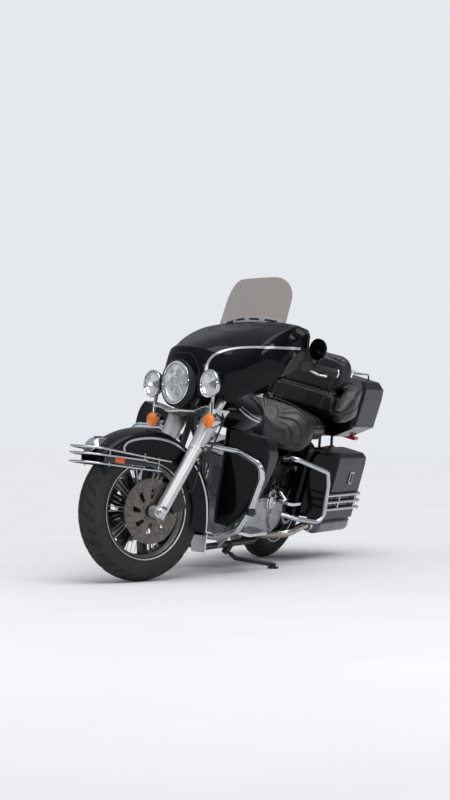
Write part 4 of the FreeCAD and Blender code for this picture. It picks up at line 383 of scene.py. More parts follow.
def lathe(profile, centre, axis, around=48):
    """Turned piece: a circle drawn out through rows of radius and height along its axis.

    A profile clear of the axis is a ring and closes on itself. One with a single open end is thin sheet.
    """
    starts_open, ends_open = profile[0][0] > 0.02, profile[-1][0] > 0.02
    if starts_open and ends_open and profile[-1] != profile[0]:
        profile = list(profile) + [profile[0]]
    unselect()
    bpy.ops.mesh.primitive_circle_add(vertices=around, radius=max(profile[0][0], 0.01), fill_type="NOTHING")
    piece = bpy.context.object
    bpy.ops.object.mode_set(mode="EDIT")
    bpy.ops.mesh.select_all(action="SELECT")
    bpy.ops.transform.translate(value=(0, 0, profile[0][1]))
    if profile[0][0] > 0:
        bpy.ops.mesh.edge_face_add()
        bpy.ops.mesh.select_all(action="SELECT")
        bpy.ops.mesh.delete(type="ONLY_FACE")
        bpy.ops.mesh.select_all(action="SELECT")
    for (radius, height), (wider, higher) in zip(profile, profile[1:]):
        bpy.ops.mesh.extrude_edges_move(TRANSFORM_OT_translate={"value": (0, 0, higher - height)})
        ratio = max(wider, 0.01) / max(radius, 0.01)
        bpy.ops.transform.resize(value=(ratio, ratio, 1), center_override=(0, 0, higher))
    bpy.ops.object.mode_set(mode="OBJECT")
    bpy.ops.object.mode_set(mode="EDIT")
    bpy.ops.mesh.select_all(action="SELECT")
    bpy.ops.mesh.remove_doubles(threshold=0.03)
    bpy.ops.mesh.normals_make_consistent(inside=False)
    bpy.ops.object.mode_set(mode="OBJECT")
    if starts_open != ends_open:
        modify(piece, "SOLIDIFY", thickness=1.2, offset=0)
    piece.matrix_world = Matrix.Translation(centre) @ facing(axis)
    return piece


def slab(outline, thickness, bevel=1.0, plane="XZ"):
    """Flat plate from its outline, extruded along the plane's normal with its edges eased."""
    unselect()
    bpy.ops.mesh.primitive_circle_add(vertices=len(outline), radius=1, fill_type="NGON")
    piece = bpy.context.object
    for vertex, point in zip(piece.data.vertices, outline):
        vertex.co = point
    bpy.ops.object.mode_set(mode="EDIT")
    bpy.ops.mesh.select_all(action="SELECT")
    shift = {"XZ": (0, thickness, 0), "YZ": (thickness, 0, 0), "XY": (0, 0, thickness)}[plane]
    bpy.ops.mesh.extrude_region_move(TRANSFORM_OT_translate={"value": shift})
    bpy.ops.mesh.select_all(action="SELECT")
    bpy.ops.mesh.normals_make_consistent(inside=False)
    bpy.ops.object.mode_set(mode="OBJECT")
    if bevel:
        modify(piece, "BEVEL", width=bevel, segments=3, limit_method="ANGLE", angle_limit=math.radians(30))
    return piece


def pipe(route, radius, closed=False, resolution=8, cap=True):
    """Round bar along a smooth route."""
    unselect()
    curve = bpy.data.curves.new("route", "CURVE")
    curve.dimensions = "3D"
    curve.bevel_depth = radius
    curve.bevel_resolution = 3
    curve.resolution_u = resolution
    curve.use_fill_caps = cap and not closed
    spline = curve.splines.new("NURBS")
    spline.points.add(len(route) - 1)
    for point, place in zip(spline.points, route):
        point.co = (*place, 1)
    spline.use_cyclic_u = closed
    spline.order_u = 3
    spline.use_endpoint_u = not closed
    piece = bpy.data.objects.new("route", curve)
    bpy.context.scene.collection.objects.link(piece)
    take(piece)
    bpy.ops.object.convert(target="MESH")
    return bpy.context.object


def joined(pieces):
    """One object from several."""
    unselect()
    for piece in pieces:
        piece.select_set(True)
    bpy.context.view_layer.objects.active = pieces[0]
    bpy.ops.object.join()
    return bpy.context.object


def other_side(piece):
    """A copy on the right-hand side, with its faces turned outwards again."""
    take(piece)
    bpy.ops.object.transform_apply(location=True, rotation=True, scale=True)
    bpy.ops.object.duplicate(linked=False)
    copy = bpy.context.object
    copy.data.transform(Matrix.Scale(-1, 4, (0, 1, 0)))
    bpy.ops.object.mode_set(mode="EDIT")
    bpy.ops.mesh.select_all(action="SELECT")
    bpy.ops.mesh.normals_make_consistent(inside=False)
    bpy.ops.object.mode_set(mode="OBJECT")
    return copy


def pair(piece, name, body, material, smooth=40):
    """The same piece on both sides."""
    twin = other_side(piece)
    put(piece, name + "_left", body, material, smooth)
    put(twin, name + "_right", body, material, smooth)
    return piece, twin


def surface_of(node, body):
    """The node's skin in the modelling frame, for laying thin trim on it."""
    back = place_of(body).inverted()
    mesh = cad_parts[node].data
    corners = [back @ vertex.co for vertex in mesh.vertices]
    return BVHTree.FromPolygons(corners, [tuple(face.vertices) for face in mesh.polygons])


def evenly(route, step):
    """Points at even steps along a smooth line through the route."""
    places = [Vector(p) for p in route]
    dense = []
    for i in range(len(places) - 1):
        before = places[max(i - 1, 0)]
        start, end = places[i], places[i + 1]
        after = places[min(i + 2, len(places) - 1)]
        for k in range(16):
            t = k / 16
            dense.append(0.5 * ((2 * start) + (end - before) * t
                                + (2 * before - 5 * start + 4 * end - after) * t * t
                                + (3 * start - before - 3 * end + after) * t ** 3))
    dense.append(places[-1])
    out, left = [dense[0]], step
    for a, b in zip(dense, dense[1:]):
        length = (b - a).length
        while length >= left and length > 0:
            a = a + (b - a) * (left / length)
            out.append(a.copy())
            length = (b - a).length
            left = step
        left -= length
    out.append(dense[-1])
    return out


def tape(route, width, node, body, thickness=0.5, lanes=(0.0,), step=6.0, inward=None):
    """Painted or plated line laid on a node's skin along a route, with a soft edge.

    With a direction inward, the line keeps to the outer face of a thin shell.
    """
    skin = surface_of(node, body)
    line = evenly(route, step)
    strips = []
    for lane in lanes:
        unselect()
        bpy.ops.mesh.primitive_grid_add(x_subdivisions=len(line) - 1, y_subdivisions=2, size=2)
        piece = bpy.context.object
        rows = sorted(piece.data.vertices, key=lambda v: (round(v.co.x, 5), round(v.co.y, 5)))
        for i, middle_point in enumerate(line):
            ahead = line[min(i + 1, len(line) - 1)] - line[max(i - 1, 0)]
            found, normal, _, _ = skin.find_nearest(middle_point)
            if inward:
                hit = skin.ray_cast(middle_point - Vector(inward) * 90, Vector(inward), 220)
                if hit[0]:
                    found, normal = hit[0], hit[1]
            across = ahead.cross(normal).normalized()
            for k, share in enumerate((-0.5, 0, 0.5)):
                spot = found + across * (width * share + lane)
                near = skin.find_nearest(spot + normal * 3)[0]
                rows[i * 3 + k].co = near + normal * (thickness * (1 if share == 0 else 0.7))
        strips.append(piece)
    piece = joined(strips) if len(strips) > 1 else strips[0]
    modify(piece, "SOLIDIFY", thickness=thickness * 1.6, offset=0)
    return piece


# Lamps: a plated bowl, its ring, a faceted reflector, bulbs and the lens

HEADLAMP = Vector((1461, 0, 908))
SPOT = Vector((1437, 213, 905))
SIGNAL = Vector((1415, 213, 739))
FORWARD = Vector((1, 0, 0))
BACKWARD = Vector((-1, 0, 0))
FRONT_AXLE = Vector((WHEELBASE, 0, TYRE_RADIUS))
SIDEWAYS = Vector((0, 1, 0))


def headlamp():
    bowl = lathe([(0.01, -60), (44, -60), (58, -58), (84, -38), (96, -22), (100, -10), (101, -6), (101, 1),
                  (99, 6), (95, 8), (91, 7), (89, 2), (89, -6)], HEADLAMP, FORWARD, 72)
    stay = lathe([(0.01, -98), (10, -98), (10, -52), (0.01, -52)], HEADLAMP + Vector((0, 0, 34)), FORWARD, 20)
    shell = joined([bowl, stay])
    put(shell, "headlamp_bowl", "front_end", CHROME, 30)
    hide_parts("headlamp")
    dish = lathe([(88, -3), (84, -10), (72, -22), (50, -34), (24, -40), (0.01, -41)], HEADLAMP, FORWARD, 24)
    put(dish, "headlamp_reflector", "front_end", MIRROR, 12)
    cells = []
    for y, z, size in ((0, 42, 26), (0, -42, 26), (44, 12, 19), (-44, 12, 19), (40, -30, 16), (-40, -30, 16),
                       (0, 0, 17)):
        cells.append(lathe([(0.01, -34), (size * 0.9, -34), (size, -26), (size, -13), (size * 0.92, -9),
                            (size * 0.84, -11), (size * 0.8, -20)],
                           HEADLAMP + Vector((0, y, z)), FORWARD, 32))
    put(joined(cells), "headlamp_cells", "front_end", MIRROR, 30)
    domes = []
    for y, z, size in ((0, 42, 21), (0, -42, 21), (44, 12, 15), (-44, 12, 15)):
        domes.append(lathe([(size, -22), (size, -15), (size * 0.86, -9), (size * 0.5, -5), (0.01, -4)],
                           HEADLAMP + Vector((0, y, z)), FORWARD, 28))
    put(joined(domes), "headlamp_projectors", "front_end", GLASS, 60)
    lens = lathe([(89, -1), (88, 3), (70, 7), (40, 10), (0.01, 11), (0.01, 8), (40, 7), (70, 4), (86, -1)],
                 HEADLAMP, FORWARD, 72)
    put(lens, "headlamp_lens", "front_end", GLASS, 60)
    surround = lathe([(102, -30), (112, -30), (113, -4), (111, 3), (106, 4), (102.5, -2)],
                     HEADLAMP, FORWARD, 72)
    put(surround, "headlamp_gasket", "front_end", RUBBER, 40)
    drop = lathe([(0.01, 0), (5, 0), (5, 6), (2.6, 9), (0.01, 9)],
                 HEADLAMP + Vector((-6, 0, -101)), (0, 0, -1), 16)
    put(drop, "headlamp_screw", "front_end", CHROME, 30)


def spot_lamps():
    bowl = lathe([(0.01, -44), (30, -44), (46, -36), (57, -22), (63, -10), (64, -5), (64, 1), (62, 5),
                  (58, 6), (56, 3), (55, -4)], SPOT, FORWARD, 56)
    left, _ = pair(bowl, "spot_lamp_bowl", "front_end", CHROME, 30)
    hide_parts("spot_lamps")
    dish = lathe([(55, -3), (48, -14), (34, -25), (16, -32), (0.01, -33)], SPOT, FORWARD, 20)
    pair(dish, "spot_lamp_reflector", "front_end", MIRROR, 12)
    bulb = joined([lathe([(15, -32), (15, -22), (13, -20), (8, -20), (8, -12), (5, -8), (0.01, -7)],
                         SPOT, FORWARD, 24)])
    pair(bulb, "spot_lamp_bulb", "front_end", DARK, 40)
    rows = [(55.5, -1)]
    for i in range(7):
        radius = 50 - i * 7
        rows += [(radius + 2.5, 3.2 + i * 0.4), (radius, 1.6 + i * 0.4), (radius - 2, 3.6 + i * 0.4)]
    rows += [(0.01, 6), (0.01, 1.5), (55.5, -2)]
    pair(lathe(rows, SPOT, FORWARD, 56), "spot_lamp_lens", "front_end", GLASS, 60)


def turn_signals():
    body = lathe([(0.01, -52), (16, -47), (26, -30), (31, -14), (33, -4), (33, 2), (31.5, 3.5), (30, 2),
                  (29, -4)], SIGNAL, FORWARD, 40)
    left, _ = pair(body, "turn_signal_body", "front_end", CHROME, 40)
    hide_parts("front_turn_signals")
    lens = lathe([(30, -2), (32, 4), (32.4, 9), (31, 15), (27, 20), (19, 24), (9, 26.4), (0.01, 27)],
                 SIGNAL, FORWARD, 40)
    pair(lens, "turn_signal_lens", "front_end", AMBER, 60)
    bulb = lathe([(0.01, -6), (12, -6), (13, 2), (9, 12), (0.01, 16)], SIGNAL, FORWARD, 24)
    pair(bulb, "turn_signal_bulb", "front_end", AMBER, 60)


# Fairing trim

FAIRING_LINE = [(1412, 152, 945), (1411, 155, 982), (1403, 161, 1014), (1385, 174, 1040), (1350, 198, 1062),
                (1310, 235, 1077), (1277, 280, 1083), (1244, 324, 1086), (1190, 348, 1090), (1124, 356, 1095),
                (1056, 380, 1100)]
SCREEN_LINE = [(1108, -196, 1226), (1098, -120, 1232), (1089, -40, 1238), (1087, 33, 1240), (1080, 120, 1236),
               (1072, 190, 1230), (1066, 232, 1224)]
FENDER_LINE = [(1778, 88, 572), (1784, 88, 584), (1780, 88, 600), (1759, 88, 617), (1714, 88, 632),
               (1655, 88, 641), (1594, 88, 642), (1532, 88, 633), (1482, 88, 616), (1444, 88, 594)]


FENDER_BACK = [(1384, 537), (1352, 497), (1328, 452), (1311, 410), (1300, 360), (1294, 300), (1291, 236)]


def mirrored(route):
    return [(x, -y, z) for x, y, z in route]


def screen_strip():
    """Slotted bright strip along the foot of the windshield, held by three domed screws."""
    strip = tape(SCREEN_LINE, 27, "windshield", "front_end", 2.4)
    put(strip, "screen_strip", "front_end", CHROME, 50)
    line = evenly(SCREEN_LINE, 1.0)
    slots = []
    for share in (0.12, 0.33, 0.55, 0.78):
        start = int(share * len(line))
        slots.append(tape(line[start:start + 62:10], 9, "windshield", "front_end", 3.4))
    put(joined(slots), "screen_slots", "front_end", DARK, 50)
    skin = surface_of("windshield", "front_end")
    screws = []
    for share in (0.05, 0.25, 0.68, 0.93):
        spot, normal, _, _ = skin.find_nearest(line[int(share * len(line))])
        normal = normal if normal.x > 0 else -normal
        screws.append(lathe([(6.5, 0), (6.5, 4), (5.5, 6), (3, 7.2), (0.01, 7.4)], spot, normal, 20))
    put(joined(screws), "screen_screws", "front_end", ENAMEL, 40)


def fairing_trim():
    for side, word, route in ((1, "left", FAIRING_LINE), (-1, "right", mirrored(FAIRING_LINE))):
        line = tape(route, 12, "outer_fairing", "front_end", 0.9, inward=(-0.5, -0.866 * side, 0))
        put(line, "fairing_line_" + word, "front_end", STRIPE)
    for word, route in (("left", FENDER_LINE), ("right", mirrored(FENDER_LINE))):
        put(tape(route, 10, "front_fender", "front_end", 0.7), "fender_line_" + word, "front_end", STRIPE)


def fender_trim():
    """Lens of the tip lamp, the black band with its reflector, and the bright strip behind the wheel."""
    lens = tape([(1876, 0, 640), (1860, 0, 646), (1836, 0, 649)], 46, "fender_lamp", "front_end", 3.0)
    put(lens, "fender_lamp_lens", "front_end", DARK_RED, 60)
    for side, word in ((1, "left"), (-1, "right")):
        y = side * 96.4
        band = slab([(1662, y, 513), (1882, y, 522), (1882, y, 547), (1662, y, 541)], side * 1.6, 0.5)
        put(band, "fender_band_" + word, "front_end", ENAMEL)
        y = side * 98.2
        reflector = slab([(1786, y, 519.5), (1836, y, 521.5), (1836, y, 543), (1786, y, 541)],
                         side * 3.0, 1.0)
        put(reflector, "fender_reflector_" + word, "front_end", ORANGE)
        route = [(x, side * 88, z) for x, z in FENDER_BACK]
        put(tape(route, 9, "front_fender", "front_end", 1.6), "fender_edge_" + word, "front_end", CHROME)


def wheel_trim(centre, body, word, lip=54.0):
    """Polished lips on both sides of the rim, bright spoke faces and the air valve."""
    lips = []
    for side in (1, -1):
        lips.append(lathe([(196, lip - 26), (202, lip - 15), (208, lip - 6), (213, lip - 1), (217, lip + 1),
                           (220.5, lip + 1.5), (222.5, lip), (221.5, lip - 3), (216.8, lip - 4),
                           (207.6, lip - 14), (201, lip - 26)], centre, SIDEWAYS * side, 96))
    put(joined(lips), word + "_rim_lips", body, SATIN, 40)
    faces = []
    for i in range(9):
        for side in (1, -1):
            angle = math.radians(40 * i)
            for tilt in (-4.6, 4.6):
                a = angle + math.radians(tilt)
                inner = Vector((math.cos(a) * 92, 0, math.sin(a) * 92))
                outer = Vector((math.cos(angle + math.radians(tilt * 0.82)) * 188, 0,
                                math.sin(angle + math.radians(tilt * 0.82)) * 188))
                across = (outer - inner).cross(SIDEWAYS).normalized() * 2.0
                y = SIDEWAYS * side * 15.2
                outline = [centre + inner - across + y, centre + outer - across + y,
                           centre + outer + across + y, centre + inner + across + y]
                faces.append(slab(outline, side * 0.8, 0))
    put(joined(faces), word + "_spoke_faces", body, SATIN, 30)
    valve = lathe([(4, 0), (4, 14), (3, 15), (3, 30), (4.2, 31), (4.2, 38), (0.01, 39)],
                  centre + Vector((-60, 22, -172)), Vector((0.3, 0.25, 0.92)), 16)
    put(valve, word + "_valve", body, RUBBER, 40)


def disc_bolts(centre, body, word, offsets):
    heads = []
    for offset in offsets:
        for i in range(5):
            a = math.radians(72 * i + 18)
            spot = centre + Vector((math.cos(a) * 40, offset, math.sin(a) * 40))
            heads.append(lathe([(6.5, 0), (6.5, 4.5), (5.6, 5.6), (3.4, 5.6), (3.2, 3.5), (0.01, 3.5)], spot,
                               SIDEWAYS * (1 if offset > 0 else -1), 12))
        for i in range(8):
            a = math.radians(45 * i)
            spot = centre + Vector((math.cos(a) * 108, offset, math.sin(a) * 108))
            heads.append(lathe([(5.2, 0), (5.2, 1.6), (3.2, 1.8), (0.01, 1.4)], spot,
                               SIDEWAYS * (1 if offset > 0 else -1), 14))
    put(joined(heads), word + "_disc_bolts", body, ANODISED, 40)


def fork_trim():
    """Dust seal rings where the sliders end, axle nut and pinch bolts."""
    pieces = []
    direction = Vector((-math.sin(math.radians(30)), 0, math.cos(math.radians(30))))
    for side in (1, -1):
        foot = Vector((1590, side * 128, 318))
        for along, radius, height in ((343, 31.2, 6), (351, 30.2, 5)):
            seal = [(radius - 4, 0), (radius, 0.5), (radius, height - 0.5), (radius - 4, height)]
            pieces.append(lathe(seal, foot + direction * along, direction, 40))
    put(joined(pieces), "fork_seals", "front_end", RUBBER, 40)
    nut = joined([lathe([(0.01, 0), (17, 0), (19, 2), (19, 9), (16, 12), (0.01, 12)],
                        Vector((1613, 156, 318)), SIDEWAYS, 6),
                  lathe([(0.01, 0), (9, 0), (9, 16), (7, 18), (0.01, 18)],
                        Vector((1613, 158, 318)), SIDEWAYS, 24)])
    pair(nut, "axle_nut", "front_end", CHROME, 30)
    screws = []
    for dx, dz in ((-16, 14), (-4, 20)):
        screws.append(lathe([(0.01, 0), (5.5, 0), (5.5, 6), (4.6, 7), (0.01, 7)],
                            Vector((1600 + dx, 157, 320 + dz)), SIDEWAYS, 12))
    pair(joined(screws), "fork_pinch_bolts", "front_end", ANODISED, 30)


# Tyres with their moulded tread and ribbed walls

TYRE_HALF = 65.0
RIM_SEAT = 217.1
PITCHES = 32


def groove(offset, half):
    """Share of a groove's depth at a distance from its middle line."""
    return max(0.0, min(1.0, 1.6 * (1 - abs(offset) / half)))


def tread_depth(turn, across):
    """Depth of the tread at a turn of the wheel and at an angle across it, in degrees from the crown."""
    share = across / 62
    if abs(share) > 1:
        return 0.9 * max(groove(abs(across) - 78, 3), groove(abs(across) - 112, 2.5),
                         groove(abs(across) - 118, 2.5))
    step = turn / (2 * math.pi) * PITCHES
    wave = 0.16 * math.sin(math.pi * step)
    middle_line = groove(across - 20 * wave, 5.5) * 4.0
    side = 0.5 if share > 0 else 0.0
    bend = 0.75 * abs(share) ** 1.4 + 0.12 * math.sin(5 * share)
    along = (step / 2 + side + bend) % 1.0 - 0.5
    short = (step / 2 + side + 0.5 + bend) % 1.0 - 0.5
    long_cut = groove(along, 0.125) if 0.12 < abs(share) < 0.97 else 0.0
    short_cut = groove(short, 0.1) if 0.5 < abs(share) < 0.92 else 0.0
    shoulder = groove(abs(across) - 34 - 9 * math.sin(math.pi * (step + side)), 3.5) * 0.8
    return max(middle_line, 5.0 * long_cut, 4.2 * short_cut, 3.2 * shoulder)


def road_tyre(node, centre, body, around=540):
    """The tyre's round section with grooves pressed into it, replacing the plain ring."""
    spine = TYRE_RADIUS - TYRE_HALF
    edge = math.acos((RIM_SEAT - spine) / TYRE_HALF)
    angles = [edge * (i / 22) for i in range(-22, 23)]
    profile = [(spine + TYRE_HALF * math.cos(a), TYRE_HALF * math.sin(a)) for a in angles]
    profile.append(profile[0])
    piece = lathe(profile, centre, SIDEWAYS, around)
    back = facing(SIDEWAYS)
    pressed = [0.0] * len(piece.data.vertices)
    for vertex in piece.data.vertices:
        place = back @ vertex.co
        turn = math.atan2(place.z, place.x)
        reach = math.hypot(place.x, place.z)
        lean = math.atan2(place.y, reach - spine)
        if reach > RIM_SEAT + 1:
            pressed[vertex.index] = tread_depth(turn, math.degrees(lean))
            kept = 1 - pressed[vertex.index] / TYRE_HALF
            spread = Vector((math.cos(turn), 0, math.sin(turn))) * (spine + (reach - spine) * kept)
            vertex.co = back.inverted() @ (spread + Vector((0, place.y * kept, 0)))
    # The depth is kept on the mesh for the tyre material, which paints shade into the grooves with it.
    piece.data.attributes.new("pressed", "FLOAT", "POINT").data.foreach_set("value", pressed)
    put(piece, node + "_tread", body, NODE_MATERIALS[node], 35)
    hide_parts(node)


# Lines and small fittings

SCREEN_PANEL = [(1232, -82, 1178), (1161, -107, 1204), (1119, -69, 1216), (1127, 85, 1214), (1154, 241, 1195),
                (1218, 218, 1167), (1261, 186, 1149), (1271, 91, 1161), (1262, 0, 1171), (1232, -82, 1178)]
LAMP_RECESS = [(1424, 128, 926), (1429, 126, 964), (1436, 112, 1002), (1446, 76, 1040), (1458, 30, 1044),
               (1458, -30, 1044), (1446, -76, 1040), (1436, -112, 1002), (1429, -126, 964), (1424, -128, 926)]
TANK_LOW = [(1092, 125, 834), (1054, 151, 811), (978, 166, 791), (888, 162, 779)]
TANK_HIGH = [(1078, 128, 844), (1028, 155, 821), (957, 166, 803), (880, 160, 792)]
PRIMARY = Vector((531, 184, 386))
PRIMARY_ENDS = ((440, 308, 84), (700, 300, 86))
MIRROR_CENTRE = Vector((992, 402, 1099))


def body_lines():
    # Dark line round the screen panel: painted shade along the crease of the shallow hollow under the
    # windshield.
    put(tape(SCREEN_PANEL, 3.2, "outer_fairing", "front_end", 0.5), "screen_panel_crease_shade", "front_end", DARK)
    # Dark line over the headlamp: painted shade along the edge of the lamp's recess in the fairing.
    put(tape(LAMP_RECESS, 5.5, "outer_fairing", "front_end", 0.6), "lamp_recess_edge_shade", "front_end", DARK)
    for word, low, high in (("left", TANK_LOW, TANK_HIGH),
                            ("right", mirrored(TANK_LOW), mirrored(TANK_HIGH))):
        lines = joined([tape(low, 8, "fuel_tank", "chassis", 0.6),
                        tape(high, 4, "fuel_tank", "chassis", 0.6)])
        put(lines, "tank_lines_" + word, "chassis", STRIPE)


def luggage_trim():
    """Latches of the bags, and a silver line along each side of the trunk."""
    for side, word in ((1, "left"), (-1, "right")):
        y = side * 312.5
        hasp = slab([(-214, y, 488), (-160, y, 488), (-160, y, 556), (-214, y, 556)], side * 5, 2.2)
        lever = slab([(-206, y + side * 4.5, 498), (-168, y + side * 4.5, 498), (-168, y + side * 4.5, 548),
                      (-206, y + side * 4.5, 548)], side * 4, 1.6)
        screws = [lathe([(0.01, 0), (4.5, 0), (4.5, 1.6), (3.2, 2.4), (0.01, 2.4)],
                        Vector((x, y + side * 5, 492)), SIDEWAYS * side, 16) for x in (-210, -164)]
        put(hasp, "bag_hasp_" + word, "chassis", CHROME)
        put(lever, "bag_lever_" + word, "chassis", ENAMEL)
        put(joined(screws), "bag_screws_" + word, "chassis", ANODISED)
        line = [(-330, side * 285, 789), (-220, side * 285, 789), (-110, side * 285, 789)]
        put(tape(line, 7, "trunk", "chassis", 0.8), "trunk_line_" + word, "chassis", STRIPE)


REAR = -372.0
TAIL_BAR = [(-345, 0, 545), (-402, 60, 545), (-414, 110, 545), (-422, 150, 545)]


def upright(x, half, low, high):
    """Outline of a rectangle that faces along the motorcycle."""
    return [(x, -half, low), (x, half, low), (x, half, high), (x, -half, high)]


def rear_lamps():
    """Tail lamp, number plate on its stay, the bar with its two signals, and the trunk's corner lamps."""
    housing = slab(upright(REAR - 26, 58, 472, 528), 60, 5, "YZ")
    put(housing, "tail_lamp_housing", "chassis", CHROME)
    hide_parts("rear_lamps")
    lens = slab(upright(REAR - 34, 53, 476, 524), 10, 4, "YZ")
    put(lens, "tail_lamp_lens", "chassis", RED)
    number = slab(upright(REAR - 40, 90, 372, 462), 4, 1.2, "YZ")
    put(number, "number_plate", "chassis", STRIPE)
    stay = slab([(REAR - 36, -13, 382), (REAR + 6, -13, 402), (REAR + 12, -13, 470), (REAR - 20, -13, 514),
                 (REAR - 36, -13, 470)], 26, 1.5)
    put(stay, "number_plate_stay", "chassis", ENAMEL)
    bar = pipe(TAIL_BAR, 7.6)
    twin = other_side(bar)
    put(joined([bar, twin]), "signal_bar", "chassis", CHROME, 50)
    spot = Vector((REAR - 50, 168, 545))
    body = lathe([(0.01, -30), (16, -26), (27, -18), (31, -8), (31.4, 2), (29.5, 4), (28, 2), (28, -3)],
                 spot, BACKWARD, 36)
    pair(body, "rear_signal_body", "chassis", CHROME, 40)
    glass = lathe([(28.5, 0), (29.5, 7), (28, 13), (22, 18), (12, 21), (0.01, 22)], spot, BACKWARD, 36)
    pair(glass, "rear_signal_lens", "chassis", RED, 60)
    for side, word in ((1, "left"), (-1, "right")):
        y = side * 119
        lamp = slab([(-486, y, 695), (-426, y, 695), (-426, y, 713), (-486, y, 713)], side * 76, 3)
        put(lamp, "trunk_lamp_" + word, "chassis", RED)


def guard_fittings():
    """Clamps with their bolts on the engine guard."""
    for side, word in ((1, "left"), (-1, "right")):
        spot = Vector((1155, side * 340, 395))
        toward = Vector((10, 0, 232)).normalized()
        clamp = lathe([(16.4, -15), (21, -15), (22, -13), (22, 13), (21, 15), (16.4, 15), (16.4, -15)],
                      spot, toward, 28)
        bolt = lathe([(0.01, 0), (6, 0), (6, 5), (4.8, 6), (0.01, 6)], spot + Vector((0, side * 21, 0)),
                     SIDEWAYS * side, 6)
        put(joined([clamp, bolt]), "guard_clamp_" + word, "chassis", ENAMEL, 30)


def engine_trim():
    """Round inspection cover of the primary case, and the screws round its edge."""
    cover = lathe([(0.01, 0), (58, 0), (58, 4), (55, 7), (50, 8), (47, 6), (30, 7.5), (0.01, 8.5)],
                  PRIMARY, SIDEWAYS, 64)
    put(cover, "primary_inspection_cover", "chassis", CHROME, 40)
    skin = surface_of("primary_cover", "chassis")
    screws = []
    for i in range(5):
        a = math.radians(72 * i + 10)
        screws.append(lathe([(0.01, 0), (4, 0), (4, 2), (3, 3), (0.01, 2.4)],
                            PRIMARY + Vector((math.cos(a) * 50, 7.2, math.sin(a) * 50)), SIDEWAYS, 16))
    places = []
    (back, high, rim), (front, low, _) = PRIMARY_ENDS
    for (x, z, radius), turns in zip(PRIMARY_ENDS, (range(110, 251, 28), range(-70, 71, 28))):
        for a in turns:
            places.append((x + math.cos(math.radians(a)) * radius, z + math.sin(math.radians(a)) * radius))
    for i in range(5):
        share = (i + 0.5) / 5
        x = back * (1 - share) + front * share
        places += [(x, high + (low - high) * share + side * rim) for side in (1, -1)]
    for x, z in places:
        spot, normal, _, away = skin.find_nearest(Vector((x, 190, z)))
        if away < 20 and normal.y > 0.5:
            screws.append(lathe([(0.01, -1), (5, -1), (5, 3.4), (4, 4.4), (2.4, 4.4), (2.4, 2.6),
                                 (0.01, 2.6)], spot, normal, 14))
    put(joined(screws), "primary_screws", "chassis", ANODISED, 40)


CRANK = Vector((700, 0, 300))
CYLINDER_LEAN = 22.5


def cylinder_trim():
    """Plated rocker covers with their screws on both cylinders, and the pushrod tubes on the right."""
    for lean, word in ((CYLINDER_LEAN, "front"), (-CYLINDER_LEAN, "rear")):
        turn = Matrix.Translation(CRANK) @ Matrix.Rotation(math.radians(lean), 4, "Y")
        cover = slab([(-67, -75, 322), (67, -75, 322), (67, 75, 322), (-67, 75, 322)], 36, 8, "XY")
        flange = slab([(-70, -78, 322), (70, -78, 322), (70, 78, 322), (-70, 78, 322)], 7, 2, "XY")
        heads = []
        for x, y in ((-58, -66), (58, -66), (58, 66), (-58, 66), (0, 71), (0, -71)):
            heads.append(lathe([(0.01, 0), (5.4, 0), (5.4, 3.4), (3, 4.2), (0.01, 3.4)], Vector((x, y, 329)),
                               Vector((0, 0, 1)), 14))
        whole = joined([cover, flange] + heads)
        take(whole)
        bpy.ops.object.transform_apply(location=True, rotation=True, scale=True)
        whole.matrix_world = turn
        put(whole, word + "_rocker_cover", "chassis", CHROME, 35)
    tubes = []
    for x in (-54, -30, 30, 54):
        low, high = Vector((CRANK.x + x, -118, 350)), Vector((CRANK.x + x * 2.4, -92, 640))
        along = (high - low).normalized()
        length = (high - low).length
        tubes.append(lathe([(9.4, 0), (12, 2), (12, 16), (9.8, 20), (9.8, length * 0.55),
                            (11.6, length * 0.56), (11.6, length * 0.64), (9.8, length * 0.65),
                            (9.8, length - 20), (9.2, length - 20), (9.2, 4), (9.4, 0)], low, along, 20))
    put(joined(tubes), "pushrod_tubes", "chassis", CHROME, 40)


GRIP_IN = Vector((990, 366, 1022))
GRIP_OUT = Vector((876, 430, 1004))
GRIP_LENGTH = 125
SWITCH_RADIUS = 23.4
UP = Vector((0, 0, 1))


def grip_trim():
    """Flange, raised bands and bright end cap of each grip, and the buttons of its switch housing."""
    along = (GRIP_OUT - GRIP_IN).normalized()
    start = GRIP_OUT - along * GRIP_LENGTH
    bands = [lathe([(17.6, 0), (23, 0.5), (23, 3.5), (17.6, 4)], start + along * 2, along, 36)]
    for i in range(9):
        bands.append(lathe([(17.8, 0), (19, 0.8), (19, 4.2), (17.8, 5)], start + along * (14 + 11 * i),
                           along, 36))
    pair(joined(bands), "grip_bands", "front_end", RUBBER, 50)
    cap = lathe([(0.01, 0), (17, 0), (20, 1.5), (20.5, 5), (18.5, 9), (12, 11), (0.01, 11.5)],
                GRIP_OUT + along * 3, along, 36)
    pair(cap, "grip_end_cap", "front_end", CHROME, 50)
    across = along.cross(UP).normalized()
    buttons = []
    for out, turn in ((-34, 0.2), (-20, 0.2), (-12, 0.75), (-30, 0.75)):
        outward = (across * math.cos(turn) + UP * math.sin(turn)) * SWITCH_RADIUS
        buttons.append(lathe([(0.01, 0), (4.6, 0), (4.6, 2.6), (3.8, 3.4), (0.01, 3.6)],
                             start + along * out + outward, outward, 16))
    pair(joined(buttons), "switch_buttons", "front_end", RUBBER, 50)


MUFFLER_FRONT, MUFFLER_REAR = 105, -424
MUFFLER_OUT, MUFFLER_HEIGHT = 243, 252


